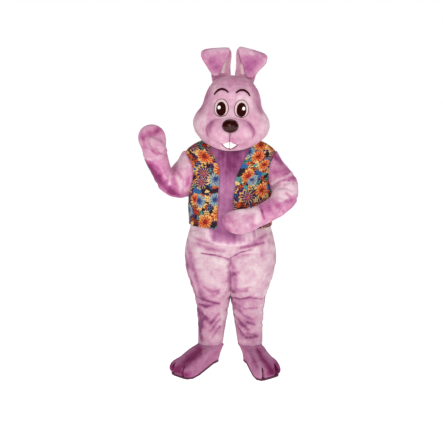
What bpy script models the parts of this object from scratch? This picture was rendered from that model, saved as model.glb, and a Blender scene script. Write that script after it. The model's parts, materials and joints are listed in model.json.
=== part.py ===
"""Rabbit mascot costume, hollow and in its worn pose: plush suit, mitts, shoe covers, head and vest.

Tables and constants are in millimetres, with heights counted from the soles. The model is made in
metres, +Z up, facing -Y, with its origin between the wearer's shoulders, where the suit hangs.
Every cloth piece is a wall cut from a lofted surface: the piece on its outer face, the same points
moved inwards for its inner face, and a seam gap round its edge.
"""
import math

import bpy
import numpy as np

METRES = 0.001
SHOULDER_HEIGHT = 1430.0      # the origin, above the soles
SEAM = 0.19                   # how far a piece's edge stands back from its seam line
PLUSH_WALL = 3.0
VEST_WALL = 1.6
HEAD_WALL = 8.0               # plush on foam
STEP = 0.5                    # mm, for surface slopes
STEP_ANGLE = 0.004
QUARTER = math.pi / 2

LILAC = (0.55, 0.30, 0.42)
PALE_LILAC = (0.66, 0.41, 0.51)
MAUVE = (0.36, 0.12, 0.24)
CREAM_PINK = (0.72, 0.52, 0.50)
PRINT_ORANGE = (0.55, 0.12, 0.04)
DARK_BROWN = (0.03, 0.004, 0.005)
WHITE = (0.85, 0.80, 0.76)
SOLE_GREY = (0.10, 0.08, 0.09)

# Trunk sections, hip seam to neck.
BODY = np.array([
    # height, half width, front, back
    (790, 302, 178, 170),
    (840, 293, 178, 165),
    (900, 278, 172, 156),
    (958, 262, 164, 148),
    (1020, 263, 162, 146),
    (1100, 270, 162, 148),
    (1200, 281, 158, 150),
    (1300, 289, 150, 150),
    (1375, 294, 138, 145),
    (1415, 295, 126, 136),
    (1443, 282, 117, 127),
    (1466, 250, 109, 119),
    (1487, 204, 102, 111),
    (1502, 160, 98, 105),
    (1514, 131, 96, 101),
    (1528, 115, 96, 99),
    (1548, 111, 97, 98)], float)
BODY_POWER = 2.3
BODY_ROWS_SIDE = (790, 845, 900, 985, 1060, 1140, 1170, 1225, 1288, 1351, 1406, 1436, 1466,
                  1487, 1502, 1522, 1548)
BODY_ROWS_FRONT = (790, 810, 838, 955) + BODY_ROWS_SIDE[4:]
FRONT_COLUMNS = 8             # to each side of the centre
BELLY_COLUMNS = 3
BELLY_FIRST_ROW = 2
BACK_COLUMNS = 7
ARMHOLE_HEIGHT = 1288.0
ARMHOLE_HALF_HEIGHT = 148.0
ARMHOLE_HALF_DEPTH = 96.0

# Trouser leg sections; a negative inner edge is cut flat where the two thighs press together.
LEG = np.array([
    # height, outer edge, inner edge, front, back
    (790, 302, -302, 178, 170),
    (740, 303, -250, 180, 172),
    (680, 297, -185, 176, 170),
    (620, 285, -112, 166, 162),
    (560, 266, -58, 150, 150),
    (500, 245, -20, 132, 136),
    (450, 234, 1, 118, 122),
    (400, 225, 13, 106, 112),
    (340, 222, 21, 102, 108),
    (280, 216, 31, 97, 101),
    (220, 217, 40, 92, 95),
    (152.4, 218, 50, 84, 84)], float)
LEG_POWER = 2.1
LEG_INNER_COLUMNS = 3
LEG_OUTER_COLUMNS = 7
MIDDLE_GAP = 0.3

# Arm sections after the armhole: the edge on the elbow's outer or inner side, then the other one.
RIGHT_ARM = np.array([
    # top x, top y, top h, under x, under y, under h, half depth
    (-338, -26, 1377, -332, -28, 1133, 92),
    (-364, -52, 1330, -392, -62, 1149, 84),
    (-379, -85, 1322, -443, -95, 1190, 76),
    (-383, -125, 1350, -491, -135, 1281, 70),
    (-388, -160, 1388, -520, -165, 1345, 67),
    (-393, -188, 1420, -538, -192, 1399, 63),
    (-398, -208, 1455, -546, -212, 1446, 47),
    (-397, -220, 1514, -567, -222, 1511, 39),
    (-407, -224, 1553, -560, -224, 1551, 35),
    (-428, -225, 1580, -538, -225, 1580, 27),
    (-455, -225, 1595, -508, -225, 1595, 15),
    (-481, -225, 1600, -481, -225, 1600, 0)], float)
LEFT_ARM = np.array([
    # top x, top y, top h, under x, under y, under h, half depth
    (322, -12, 1382, 286, -22, 1160, 92),
    (367, -35, 1334, 287, -52, 1188, 86),
    (415, -55, 1265, 288, -85, 1205, 80),
    (428, -85, 1195, 280, -115, 1202, 76),
    (412, -135, 1115, 266, -142, 1190, 72),
    (338, -182, 1049, 249, -184, 1156, 68),
    (249, -214, 1002, 204, -214, 1127, 65),
    (176, -236, 971, 162, -236, 1108, 61),
    (117, -245, 942, 116, -245, 1089, 45),
    (55, -247, 926, 54, -247, 1085, 38),
    (-1, -245, 938, -1, -245, 1072, 36),
    (-32, -243, 958, -32, -243, 1055, 27),
    (-49, -241, 985, -49, -241, 1034, 15),
    (-57, -241, 1010, -57, -241, 1010, 0)], float)
ARMHOLE_X = 280.0
ARM_RISE = 4.0                # how far a sleeve stands up from its armhole before it turns
ARM_INSET = 0.35              # how far inside the armhole it stands
ARM_WIDEST = math.radians(26)  # the widest step between two of its columns
MITT_SECTIONS = 7             # of each arm table, from the cuff to the tip

# Thumb laid on the palm: direction round the mitt from its thumb edge, mm past the cuff, half sizes.
THUMB = np.array([
    # degrees, past cuff, half width, half thickness
    (36, 34, 18, 13),
    (48, 52, 25, 19),
    (66, 76, 27, 21),
    (84, 98, 25, 20),
    (96, 114, 17, 14),
    (103, 124, 0, 0)], float)
THUMB_COLUMNS = 10
THUMBS = {"right": (1.0, -0.1), "left": (0.62, 2.2)}    # thickness share, gap to the palm

# Plush shoe cover, sole line to collar, in the foot's own directions from the ankle's middle.
FOOT = np.array([
    # height, front reach, back reach, half width at toes and at heel, heel's shift out, toe slits' depth
    (14, 312, 70, 96, 38, 13, 24),
    (34, 322, 74, 101, 41, 13, 30),
    (58, 318, 76, 100, 45, 12, 24),
    (78, 299, 77, 96, 50, 9, 8),
    (95, 257, 77, 89, 55, 6, 0),
    (112, 203, 77, 82, 61, 3, 0),
    (130, 148, 78, 77, 69, 0, 0),
    (144, 96, 80, 79, 78, 0, 0),
    (149.5, 83, 82, 81, 81, 0, 0),
    (151.5, 77.6, 77.6, 77.6, 77.6, 0, 0),
    (176, 77.6, 77.6, 77.6, 77.6, 0, 0)], float)
TOE_POWER = 5.0
TOE_START = 0.85              # share of the reach where the foot is widest
HEEL_COLUMNS = 8
TOE_RISE_REACH = 257.0        # sections shorter than this are above the toes
SLIT_HALF_WIDTH = 0.08        # a toe slit's, as a share of the foot's half width
ANKLE_X = 133.0
FEET = {                      # slits and outer_wider are shares of the half width
    "right": {"side": -1, "turned_out": 39.0, "slits": (-0.3, 0.5), "outer_wider": 0.2, "slant": 0.0},
    "left": {"side": 1, "turned_out": 23.0, "slits": (-0.5, 0.45), "outer_wider": 0.2, "slant": 42.0}}
SOLE_HEIGHT = 13.5
SOLE_COLUMNS = 32

# Head sections, neck opening to crown, in the head's upright position.
HEAD = np.array([
    # side height, front height, back height, half width, front, back
    (1511, 1456, 1500, 157, 128, 136),
    (1502, 1437, 1484, 187, 164, 166),
    (1521, 1449, 1502, 206, 188, 184),
    (1547, 1484, 1530, 228, 202, 198),
    (1573, 1525, 1562, 240, 210, 208),
    (1600, 1566, 1595, 246, 214, 214),
    (1624, 1602, 1621, 245, 216, 218),
    (1649, 1637, 1647, 237, 216, 220),
    (1674, 1668, 1673, 223, 214, 221),
    (1699, 1697, 1699, 204, 212, 220),
    (1726, 1726, 1726, 190, 209, 218),
    (1765, 1765, 1765, 181, 202, 213),
    (1805, 1805, 1805, 169, 190, 202),
    (1845, 1845, 1845, 148, 168, 178),
    (1874, 1874, 1874, 124, 142, 149),
    (1895, 1895, 1895, 93, 104, 108),
    (1908, 1908, 1908, 52, 58, 60),
    (1912, 1912, 1912, 0, 0, 0)], float)
HEAD_POWER = 2.15
HEAD_COLUMNS = 9              # per quarter
CROWN_FIRST_ROW = 11          # of the rows kept below
HEAD_ROWS_KEPT = (0, 1, 2, 3, 4, 5, 7, 8, 9, 10, 12, 13, 14, 15, 16, 17)
HEAD_PIVOT = np.array([-4.0, 0.0, 1440.0])
HEAD_TILT = math.radians(2.8)
HEAD_TURN = math.radians(2.2)
HEAD_REST_GAP = 7.3

MUZZLE = {"height": 1562.0, "half_width": 140.0, "above": 74.0, "below": 86.0, "dome": 36.0,
          "rim": 3.0, "notch": 0.25, "notch_width": 30.0, "power": 2.3, "columns": 20,
          "rows": (1, 0.93, 0.8, 0.6, 0.35, 0)}
NOSE = {"height": 1589.0, "half_width": 45.0, "half_height": 40.0, "dome": 52.0, "rim": 4.0,
        "columns": 16, "rows": (1, 0.95, 0.8, 0.5, 0)}
EYE = {"x": 61.0, "height": 1692.0, "half_width": 42.0, "half_height": 55.0,
       "columns": 20, "rows": (1, 0.66, 0.33, 0)}
PUPIL = {"x": 60.5, "height": 1688.0, "half_width": 28.5, "half_height": 42.5,
         "columns": 16, "rows": (1, 0.5, 0)}
GLINT = {"x": 73.0, "height": 1694.0, "half_width": 10.0, "half_height": 11.5,
         "columns": 10, "rows": (1, 0)}
FELT = 3.0                    # eye whites, pupils and brows
FACE_GAP = 0.6                # between a face piece and the plush it lies on
TOOTH = {"inner": 1.2, "outer": 43.0, "tip": 1453.0, "rise": 17.0, "thickness": 9.0,
         "columns": 5, "rows": 4}
BROW_COLUMNS = 9
BROW = np.array([
    # x, height, half width
    (22, 1787, 3.5),
    (40, 1801, 6.5),
    (65, 1807, 7),
    (90, 1795, 6.5),
    (107, 1774, 3.5)], float)

# Folded ear: up from the crown, over, and down in front, as a padded ribbon.
EAR = np.array([
    # x, y, height, half width, thickness, inner side up (degrees)
    (70, 6, 1894, 58, 15, 0),
    (78, 9, 1925, 64, 15, 2),
    (89, 12, 1955, 71, 15, 4),
    (103, 13, 1990, 85, 15, 6),
    (111, 11, 2025, 96, 15, 9),
    (113, 4, 2056, 98, 15, 12),
    (113, -14, 2072, 97, 15, 13),
    (117, -34, 2058, 94, 14, 12),
    (122, -46, 2025, 85, 14, 9),
    (120, -51, 1990, 69, 14, 6),
    (116, -55, 1955, 50, 13, 4),
    (111, -60, 1925, 34, 12, 2),
    (108, -66, 1901, 15, 9, 0)], float)
EAR_COLUMNS = 12
EAR_FULLNESS = 0.7            # under 1, the padding fills out towards the edges
EARS = {"right": (-1, 0.99, 0.5), "left": (1, 1.04, 1.0)}    # side, shares of width and of tilt
EAR_MIDDLE = -5.0
EAR_GAP = 1.4
LINING_ROWS = (1, 12)
LINING_COLUMNS = (7, 12)       # the inside of the fold
LINING_GAP = 0.5
LINING_WALL = 2.0

# Vest: front edges, and its hem.
VEST_EDGE = np.array([
    # height, right front's edge, left front's edge
    (940, 92, 66),
    (985, 88, 34),
    (1063, 81, 13),
    (1120, 80, 13),
    (1183, 79, 19),
    (1240, 74, 26),
    (1283, 71, 36),
    (1329, 74, 56),
    (1401, 101, 96),
    (1440, 120, 114),
    (1474, 138, 129),
    (1510, 145, 136)], float)
VEST_HEM_SIDE = 968.0
VEST_HEM_FRONT = 948.0
VEST_ROWS = (985, 1060, 1140, 1170, 1225, 1288, 1351, 1406, 1436, 1466, 1487, 1500)
VEST_SPREAD = 0.08            # least share of the way to the side that a column takes
VEST_CLOSE = 0.5              # above the suit, at the armholes
VEST_EASE = 5.0               # more than that, away from them


# ---------------------------------------------------------------- surfaces

def oval(angles, half_width, front, back, power):
    """Points round a section: angle 0 at the front (-Y), a quarter turn at +X."""
    across, along = np.sin(angles), np.cos(angles)
    reach = (np.abs(across) ** power + np.abs(along) ** power) ** (-1.0 / power)
    depth = np.where(along > 0, front, back)
    return half_width * across * reach, -depth * along * reach


def angle_at(share, power):
    """The angle whose point lies at this share of the half width, on the front."""
    share = np.clip(share, -1, 1)
    along = (1 - np.abs(share) ** power) ** (1 / power)
    return np.arctan2(share, along)


class Loft:
    """A smooth surface through section rings; a place on it is an angle and mm along it."""

    def __init__(self, ring, count):
        self.ring = ring
        self.count = count
        probe = np.linspace(0.3, 0.3 + 2 * math.pi, 8, endpoint=False)
        rings = np.array([ring(k, probe) for k in range(count)])
        steps = np.linalg.norm(np.diff(rings, axis=0), axis=2).mean(axis=1)
        self.marks = np.concatenate([[0.0], np.cumsum(steps)])

    def points(self, angles, along):
        angles, along = np.broadcast_arrays(np.asarray(angles, float), np.asarray(along, float))
        flat = angles.ravel()
        place = np.clip(along.ravel(), 0, self.marks[-1])
        rings = np.array([self.ring(k, flat) for k in range(self.count)])
        gaps = np.diff(self.marks)[:, None, None]
        slopes = np.diff(rings, axis=0) / gaps
        tangents = np.concatenate([
            slopes[:1],
            (slopes[:-1] * gaps[1:] + slopes[1:] * gaps[:-1]) / (gaps[1:] + gaps[:-1]),
            slopes[-1:]])
        k = np.clip(np.searchsorted(self.marks, place, side="right") - 1, 0, self.count - 2)
        pick = np.arange(len(flat))
        gap = np.diff(self.marks)[k][:, None]
        u = (place[:, None] - self.marks[k][:, None]) / gap
        result = ((2 * u ** 3 - 3 * u ** 2 + 1) * rings[k, pick]
                  + (u ** 3 - 2 * u ** 2 + u) * gap * tangents[k, pick]
                  + (3 * u ** 2 - 2 * u ** 3) * rings[k + 1, pick]
                  + (u ** 3 - u ** 2) * gap * tangents[k + 1, pick])
        return result.reshape(angles.shape + (3,))

    def normals(self, angles, along):
        last = self.marks[-1]
        round_it = self.points(angles + STEP_ANGLE, along) - self.points(angles - STEP_ANGLE, along)
        ahead = np.clip(along + STEP, 0, last)
        behind = np.clip(along - STEP, 0, last)
        up_it = self.points(angles, ahead) - self.points(angles, behind)
        normal = np.cross(round_it, up_it)
        return normal / np.maximum(np.linalg.norm(normal, axis=-1, keepdims=True), 1e-12)

    def along_for_height(self, height, angle):
        """How far along the surface this height lies, on the line at this angle."""
        samples = np.linspace(0, self.marks[-1], 1200)
        heights = self.points(np.full(samples.shape, angle), samples)[:, 2]
        return np.interp(height, heights, samples)


def unit(vectors):
    return vectors / np.maximum(np.linalg.norm(vectors, axis=-1, keepdims=True), 1e-12)


def levelled(normals):
    """The same directions laid level, for an edge that meets a level seam."""
    return unit(normals * np.array([1.0, 1.0, 0.0]))


# ---------------------------------------------------------------- walls and solids

class Sheet:
    """Rows and columns of points with an outer and an inner face, to be cut into pieces."""

    def __init__(self, outer, inner, wrap=False, tip=False, ground=None):
        self.rows, self.columns = outer.shape[:2]
        self.layers = (outer.reshape(-1, 3), inner.reshape(-1, 3))
        self.ground = self.layers[0] if ground is None else ground.reshape(-1, 3)
        self.wrap, self.tip = wrap, tip

    def vertex(self, row, column):
        if self.tip and row == self.rows - 1:
            return row * self.columns
        if self.wrap:
            column %= self.columns
        return row * self.columns + column

    def cells(self, rows, columns):
        """Faces as corner lists, in the given row bands and column bands."""
        faces = []
        for row in rows:
            for column in columns:
                corners = [self.vertex(row, column), self.vertex(row, column + 1),
                           self.vertex(row + 1, column + 1), self.vertex(row + 1, column)]
                faces += self.split(list(dict.fromkeys(corners)))
        return faces

    def split(self, corners):
        """A cell as two triangles across the shorter diagonal of the ground it lies on."""
        if len(corners) == 3:
            return [corners]
        a, b, c, d = corners
        points = self.ground
        if np.linalg.norm(points[a] - points[c]) <= np.linalg.norm(points[b] - points[d]):
            return [[a, b, c], [a, c, d]]
        return [[a, b, d], [b, c, d]]

    def all_cells(self):
        return self.cells(range(self.rows - 1), range(self.columns if self.wrap else self.columns - 1))


def cut_piece(name, sheet, faces, material):
    """One closed wall from some of a sheet's faces, its edge standing back from the seams.

    The edge's faces are split the same way on both sides of a seam, so a twisted seam stays clear."""
    outer, inner = sheet.layers
    directed = {(face[i - 1], face[i]) for face in faces for i in range(len(face))}
    rim = [edge for edge in directed if edge[::-1] not in directed]
    rim.sort()
    used = sorted({corner for face in faces for corner in face})
    inward = {corner: [] for corner in used}
    for face in faces:
        middle = outer[face].mean(axis=0)
        for corner in face:
            inward[corner].append(middle)
    shift = {}
    for corner in {corner for edge in rim for corner in edge}:
        shift[corner] = unit(np.mean(inward[corner], axis=0) - outer[corner]) * SEAM
    index = {corner: i for i, corner in enumerate(used)}
    count = len(used)
    still = np.zeros(3)
    points = [layer[corner] + shift.get(corner, still) for layer in (outer, inner) for corner in used]
    mesh_faces = [[index[corner] for corner in face] for face in faces]
    mesh_faces += [[index[corner] + count for corner in reversed(face)] for face in faces]
    for start, end in rim:
        a, b = index[start], index[end]
        if start < end:
            mesh_faces += [[b, a, a + count], [b, a + count, b + count]]
        else:
            mesh_faces += [[b, a, b + count], [a, a + count, b + count]]
    add_object(name, points, mesh_faces, material)


def add_solid(name, rings, material):
    """A closed solid through equal rings, each end closed by a strip from one side to the other."""
    count = len(rings[0])
    points = [point for ring in rings for point in ring]
    faces = []
    for k in range(len(rings) - 1):
        for i in range(count):
            j = (i + 1) % count
            faces.append([k * count + i, k * count + j, (k + 1) * count + j, (k + 1) * count + i])
    for first, turn in ((0, -1), (len(points) - count, 1)):
        for i in range(count // 2):
            corners = [i, i + 1, count - i - 1, (count - i) % count]
            faces.append([first + corner for corner in dict.fromkeys(corners)][::turn])
    add_object(name, points, faces, material)


def add_object(name, points, faces, material):
    """A mesh object in metres about the shoulders, with its faces pointing out."""
    placed = np.array(points, float)
    placed[:, 2] -= SHOULDER_HEIGHT
    placed *= METRES
    volume = 0.0
    for face in faces:
        for i in range(1, len(face) - 1):
            a, b, c = placed[face[0]], placed[face[i]], placed[face[i + 1]]
            volume += np.dot(a, np.cross(b, c))
    if volume < 0:
        faces = [face[::-1] for face in faces]
    mesh = bpy.data.meshes.new(name)
    mesh.from_pydata(placed.tolist(), [], faces)
    mesh.materials.append(material)
    mesh.shade_smooth()
    mesh.set_sharp_from_angle(angle=math.radians(45))
    mesh.update()
    COSTUME.objects.link(bpy.data.objects.new(name, mesh))


def make_material(name, colour, roughness):
    material = bpy.data.materials.new(name)
    material.use_nodes = True
    shader = material.node_tree.nodes["Principled BSDF"]
    shader.inputs["Base Color"].default_value = (*colour, 1.0)
    shader.inputs["Roughness"].default_value = roughness
    shader.inputs["Metallic"].default_value = 0.0
    return material


def wall(loft, angles, along, thickness, wrap=False, tip=False, level_rows=()):
    """A sheet on a loft, with its inner face moved in by the thickness."""
    outer = loft.points(angles, along)
    normals = loft.normals(angles, along)
    for row in level_rows:
        normals[row] = levelled(normals[row])
    if tip:
        normals[-1] = unit(outer[-1, 0] - outer[-2].mean(axis=0)) * np.sign(thickness)
    return Sheet(outer, outer - thickness * normals, wrap, tip)


# ---------------------------------------------------------------- trunk and legs

def body_ring(k, angles):
    height, half_width, front, back = BODY[k]
    x, y = oval(angles, half_width, front, back, BODY_POWER)
    return np.stack([x, y, np.full(x.shape, height)], axis=-1)


def armhole_angle(height, front):
    """Where a trunk panel ends beside the armhole at this height: its angle from the centre front."""
    rise = (height - ARMHOLE_HEIGHT) / ARMHOLE_HALF_HEIGHT
    depth = ARMHOLE_HALF_DEPTH * math.sqrt(max(0.0, 1 - rise * rise))
    section = np.array([np.interp(height, BODY[:, 0], BODY[:, column]) for column in (1, 2, 3)])
    share = depth / (section[1] if front else section[2])
    across = (1 - share ** BODY_POWER) ** (1 / BODY_POWER)
    angle = math.atan2(across, share)
    return angle if front else math.pi - angle


def belly_dip(column):
    """How much of the centre's height a front row keeps, this many columns from the centre."""
    return max(0.0, 1 - (abs(column) / (BELLY_COLUMNS + 0.3)) ** 2.5)


def body_front_places():
    columns = range(-FRONT_COLUMNS, FRONT_COLUMNS + 1)
    angles, heights = [], []
    for side, centre in zip(BODY_ROWS_SIDE, BODY_ROWS_FRONT):
        row = [side + (centre - side) * belly_dip(column) for column in columns]
        heights.append(row)
        angles.append([armhole_angle(height, True) * column / FRONT_COLUMNS
                       for column, height in zip(columns, row)])
    return np.array(angles), np.array(heights)


def body_back_places():
    angles, heights = [], []
    for height in BODY_ROWS_SIDE:
        edge = armhole_angle(height, False)
        angles.append(np.linspace(edge, 2 * math.pi - edge, 2 * BACK_COLUMNS + 1))
        heights.append([height] * (2 * BACK_COLUMNS + 1))
    return np.array(angles), np.array(heights)


def make_body(body, plush, belly_plush):
    angles, heights = body_front_places()
    along = body.along_for_height(heights, 0.0)
    front = wall(body, angles, along, PLUSH_WALL, level_rows=(0,))
    bands = range(len(BODY_ROWS_SIDE) - 1)
    lower, upper = bands[:BELLY_FIRST_ROW], bands[BELLY_FIRST_ROW:]
    middle = FRONT_COLUMNS
    cut_piece("front_right", front, front.cells(lower, range(0, middle))
              + front.cells(upper, range(0, middle - BELLY_COLUMNS)), plush)
    cut_piece("front_left", front, front.cells(lower, range(middle, 2 * middle))
              + front.cells(upper, range(middle + BELLY_COLUMNS, 2 * middle)), plush)
    cut_piece("belly_panel", front,
              front.cells(upper, range(middle - BELLY_COLUMNS, middle + BELLY_COLUMNS)), belly_plush)
    angles, heights = body_back_places()
    along = body.along_for_height(heights, 0.0)
    back = wall(body, angles, along, PLUSH_WALL, level_rows=(0,))
    cut_piece("back_left", back, back.cells(bands, range(0, BACK_COLUMNS)), plush)
    cut_piece("back_right", back, back.cells(bands, range(BACK_COLUMNS, 2 * BACK_COLUMNS)), plush)


def leg_ring(side):
    def ring(k, angles):
        height, outer, inner, front, back = LEG[len(LEG) - 1 - k]
        x, y = oval(angles, (outer - inner) / 2, front, back, LEG_POWER if inner > -outer else BODY_POWER)
        x = np.maximum(x + (outer + inner) / 2, MIDDLE_GAP)
        return np.stack([side * x, y, np.full(x.shape, height)], axis=-1)
    return ring


def make_leg(side_name, side, plush):
    loft = Loft(leg_ring(side), len(LEG))
    inner = np.linspace(-QUARTER, 0, LEG_INNER_COLUMNS, endpoint=False)
    front = np.concatenate([inner, np.linspace(0, QUARTER, LEG_OUTER_COLUMNS + 1)])
    columns = np.concatenate([front, np.pi - front[::-1][1:-1]])
    angles, along = np.meshgrid(columns, loft.marks)
    sheet = wall(loft, angles, along, side * PLUSH_WALL, wrap=True, level_rows=(0, -1))
    bands = range(len(LEG) - 1)
    half = len(front) - 1
    cut_piece("leg_" + side_name + "_front", sheet, sheet.cells(bands, range(0, half)), plush)
    cut_piece("leg_" + side_name + "_back", sheet, sheet.cells(bands, range(half, 2 * half)), plush)


# ---------------------------------------------------------------- arms

class Armhole:
    """The trunk's own points round an armhole: turn 0 at its top, a quarter turn at its front."""

    def __init__(self, body, side):
        rows = [row for row in BODY_ROWS_SIDE if abs(row - ARMHOLE_HEIGHT) <= ARMHOLE_HALF_HEIGHT]
        places = [(row, True) for row in reversed(rows)] + [(row, False) for row in rows[1:-1]]
        heights = np.array([row for row, _ in places], float)
        angles = side * np.array([armhole_angle(row, front) for row, front in places])
        turns = np.arccos((heights - ARMHOLE_HEIGHT) / ARMHOLE_HALF_HEIGHT)
        self.turns = np.where([front for _, front in places], turns, 2 * math.pi - turns)
        along = body.along_for_height(heights, 0.0)
        edge = body.points(angles, along)
        normals = body.normals(angles, along)
        self.outer = edge + ARM_INSET * unit(edge.mean(axis=0) - edge)
        self.inner = self.outer - PLUSH_WALL * normals
        self.raised = self.outer + ARM_RISE * normals

    def columns(self):
        """The turns of the trunk's points, with one more in the middle of each wide step."""
        ends = np.append(self.turns[1:], 2 * math.pi)
        middles = [(a + b) / 2 for a, b in zip(self.turns, ends) if b - a > ARM_WIDEST]
        return np.sort(np.concatenate([self.turns, middles]))

    def along_chords(self, points, turns):
        return np.stack([np.interp(turns, self.turns, points[:, axis], period=2 * math.pi)
                         for axis in range(3)], axis=-1)


def arm_ring(side, table, armhole):
    tops, unders, depths = table[:, 0:3], table[:, 3:6], table[:, 6]
    middles = (tops + unders) / 2
    ways = np.gradient(np.vstack([[side * ARMHOLE_X, 0, ARMHOLE_HEIGHT], middles]), axis=0)[1:]

    def ring(k, angles):
        if k == 0:
            return armhole.along_chords(armhole.outer, angles)
        if k == 1:
            return armhole.along_chords(armhole.raised, angles)
        k -= 2
        up = (tops[k] - unders[k]) / 2
        if depths[k] > 0:
            forward = unit(np.cross(ways[k], up)) * depths[k] * side
        else:
            forward = np.zeros(3)
        return (middles[k] + np.cos(angles)[:, None] * up + np.sin(angles)[:, None] * forward)
    return ring


def make_arm(body, side_name, side, table, plush, mitt_plush):
    armhole = Armhole(body, side)
    loft = Loft(arm_ring(side, table, armhole), len(table) + 2)
    columns = armhole.columns()
    count = len(columns)
    angles, along = np.meshgrid(columns, loft.marks)
    sheet = wall(loft, angles, along, side * PLUSH_WALL, wrap=True, tip=True)
    sheet.layers[1][:count] = armhole.along_chords(armhole.inner, columns)
    sleeve_bands = len(loft.marks) - MITT_SECTIONS
    sleeve = range(sleeve_bands)
    mitt = range(sleeve_bands, len(loft.marks) - 1)
    front, back = range(0, count // 2), range(count // 2, count)
    palm, outside = (front, back) if side < 0 else (back, front)
    cut_piece("sleeve_" + side_name + "_front", sheet, sheet.cells(sleeve, front), plush)
    cut_piece("sleeve_" + side_name + "_back", sheet, sheet.cells(sleeve, back), plush)
    cut_piece("mitt_" + side_name + "_palm", sheet, sheet.cells(mitt, palm), mitt_plush)
    cut_piece("mitt_" + side_name + "_back", sheet, sheet.cells(mitt, outside), mitt_plush)
    return loft, loft.marks[sleeve_bands]


def make_thumb(side_name, side, loft, cuff, plush):
    """A thumb lying on the palm, its middle line raised off the mitt by its own half thickness."""
    thickness_share, gap = THUMBS[side_name]
    first = 0.0 if side < 0 else math.pi
    angles = first + np.radians(THUMB[:, 0])
    along = cuff + THUMB[:, 1]
    ground = loft.points(angles, along)
    lift = side * loft.normals(angles, along)
    halves = THUMB[:, 3] * thickness_share
    middles = ground + lift * (np.maximum(halves, halves[-2])[:, None] + gap)
    ways = unit(np.gradient(middles, axis=0))

    def ring(k, turn):
        across = unit(np.cross(ways[k], lift[k])) * THUMB[k, 2]
        raised = unit(np.cross(across, ways[k])) * halves[k] if THUMB[k, 2] > 0 else across
        return middles[k] + np.cos(turn)[:, None] * across + np.sin(turn)[:, None] * raised
    thumb = Loft(ring, len(THUMB))
    columns = np.linspace(0, 2 * math.pi, THUMB_COLUMNS, endpoint=False)
    turn, along = np.meshgrid(columns, thumb.marks)
    sheet = wall(thumb, turn, along, -PLUSH_WALL, wrap=True, tip=True)
    cut_piece("thumb_" + side_name, sheet, sheet.all_cells(), plush)


# ---------------------------------------------------------------- feet

def foot_outline(k, angles, foot, slit_share=1.0):
    """A section of a foot; slant is how much shorter the outer toe is than the inner one."""
    height, reach, heel, toe_half, heel_half, shift, slit = FOOT[k]
    toed = reach > heel + 30
    power = TOE_POWER if toed else 2.0
    across, forward = np.sin(angles), np.cos(angles)
    stretch = (np.abs(across) ** power + np.abs(forward) ** power) ** (-1 / power)
    share = across * stretch
    ahead = np.where(forward > 0, reach - toed * foot["slant"] * (share + 1) / 2, heel)
    f = ahead * forward * stretch
    widening = np.clip(f / (TOE_START * reach), 0, 1)
    half = heel_half + (toe_half - heel_half) * widening
    low = np.clip((reach - TOE_RISE_REACH) / 50, 0, 1)
    half = half * (1 + low * foot["outer_wider"] * widening * (share > 0))
    for place in foot["slits"]:
        cleft = np.exp(-((share - place) / SLIT_HALF_WIDTH) ** 2)
        f = f - slit_share * slit * cleft * np.clip(forward * 2, 0, 1)
    out = half * share + shift * (1 - widening)
    turn = math.radians(foot["turned_out"])
    x = ANKLE_X + f * math.sin(turn) + out * math.cos(turn)
    y = -f * math.cos(turn) + out * math.sin(turn)
    return np.stack([foot["side"] * x, y, np.full(x.shape, height)], axis=-1)


def foot_columns(foot):
    """Angles round a foot: close together at its toe slits and its toe corners."""
    shares = [0, -0.75, 0.75, -0.9, 0.9, -0.98, 0.98]
    shares += [place + step for place in foot["slits"] for step in (-0.1, 0, 0.1)]
    toes = angle_at(np.array(sorted(shares)), TOE_POWER)
    heel = np.linspace(QUARTER, 3 * QUARTER, HEEL_COLUMNS + 1)
    return np.concatenate([toes, heel])


def make_foot(side_name, foot, plush, rubber):
    loft = Loft(lambda k, angles: foot_outline(k, angles, foot), len(FOOT))
    angles, along = np.meshgrid(foot_columns(foot), loft.marks)
    sheet = wall(loft, angles, along, foot["side"] * PLUSH_WALL, wrap=True, level_rows=(0, -1))
    cut_piece("foot_" + side_name, sheet, sheet.all_cells(), plush)
    outline = foot_outline(0, np.linspace(0, 2 * math.pi, SOLE_COLUMNS, endpoint=False), foot, 0.0)
    rings = [outline * np.array([1, 1, 0]) + np.array([0, 0, height]) for height in (0, SOLE_HEIGHT)]
    add_solid("sole_" + side_name, rings, rubber)


# ---------------------------------------------------------------- head

def head_ring(k, angles):
    side, front, back, half_width, front_depth, back_depth = HEAD[k]
    x, y = oval(angles, half_width, front_depth, back_depth, HEAD_POWER)
    ahead = np.cos(angles)
    height = side + np.where(ahead > 0, front - side, back - side) * ahead ** 2
    return np.stack([x, y, height], axis=-1)


def place_head(points):
    """Turns points from the upright head to its place: a slight turn, then a slight tilt."""
    offset = points - HEAD_PIVOT * np.array([0, 1, 1])
    turn_c, turn_s = math.cos(HEAD_TURN), math.sin(HEAD_TURN)
    x = offset[..., 0] * turn_c + offset[..., 1] * turn_s
    y = -offset[..., 0] * turn_s + offset[..., 1] * turn_c
    tilt_c, tilt_s = math.cos(HEAD_TILT), math.sin(HEAD_TILT)
    z = offset[..., 2]
    return np.stack([x * tilt_c + z * tilt_s, y, z * tilt_c - x * tilt_s], axis=-1) + HEAD_PIVOT


def vest_lift(points):
    """How far the vest's inner face lies off the suit: close at the armholes, easier elsewhere."""
    far = np.hypot((points[..., 2] - ARMHOLE_HEIGHT) / ARMHOLE_HALF_HEIGHT,
                   points[..., 1] / ARMHOLE_HALF_DEPTH)
    ramp = np.clip((far - 1) / 0.5, 0, 1)
    return VEST_CLOSE + VEST_EASE * ramp * ramp * (3 - 2 * ramp)


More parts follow.
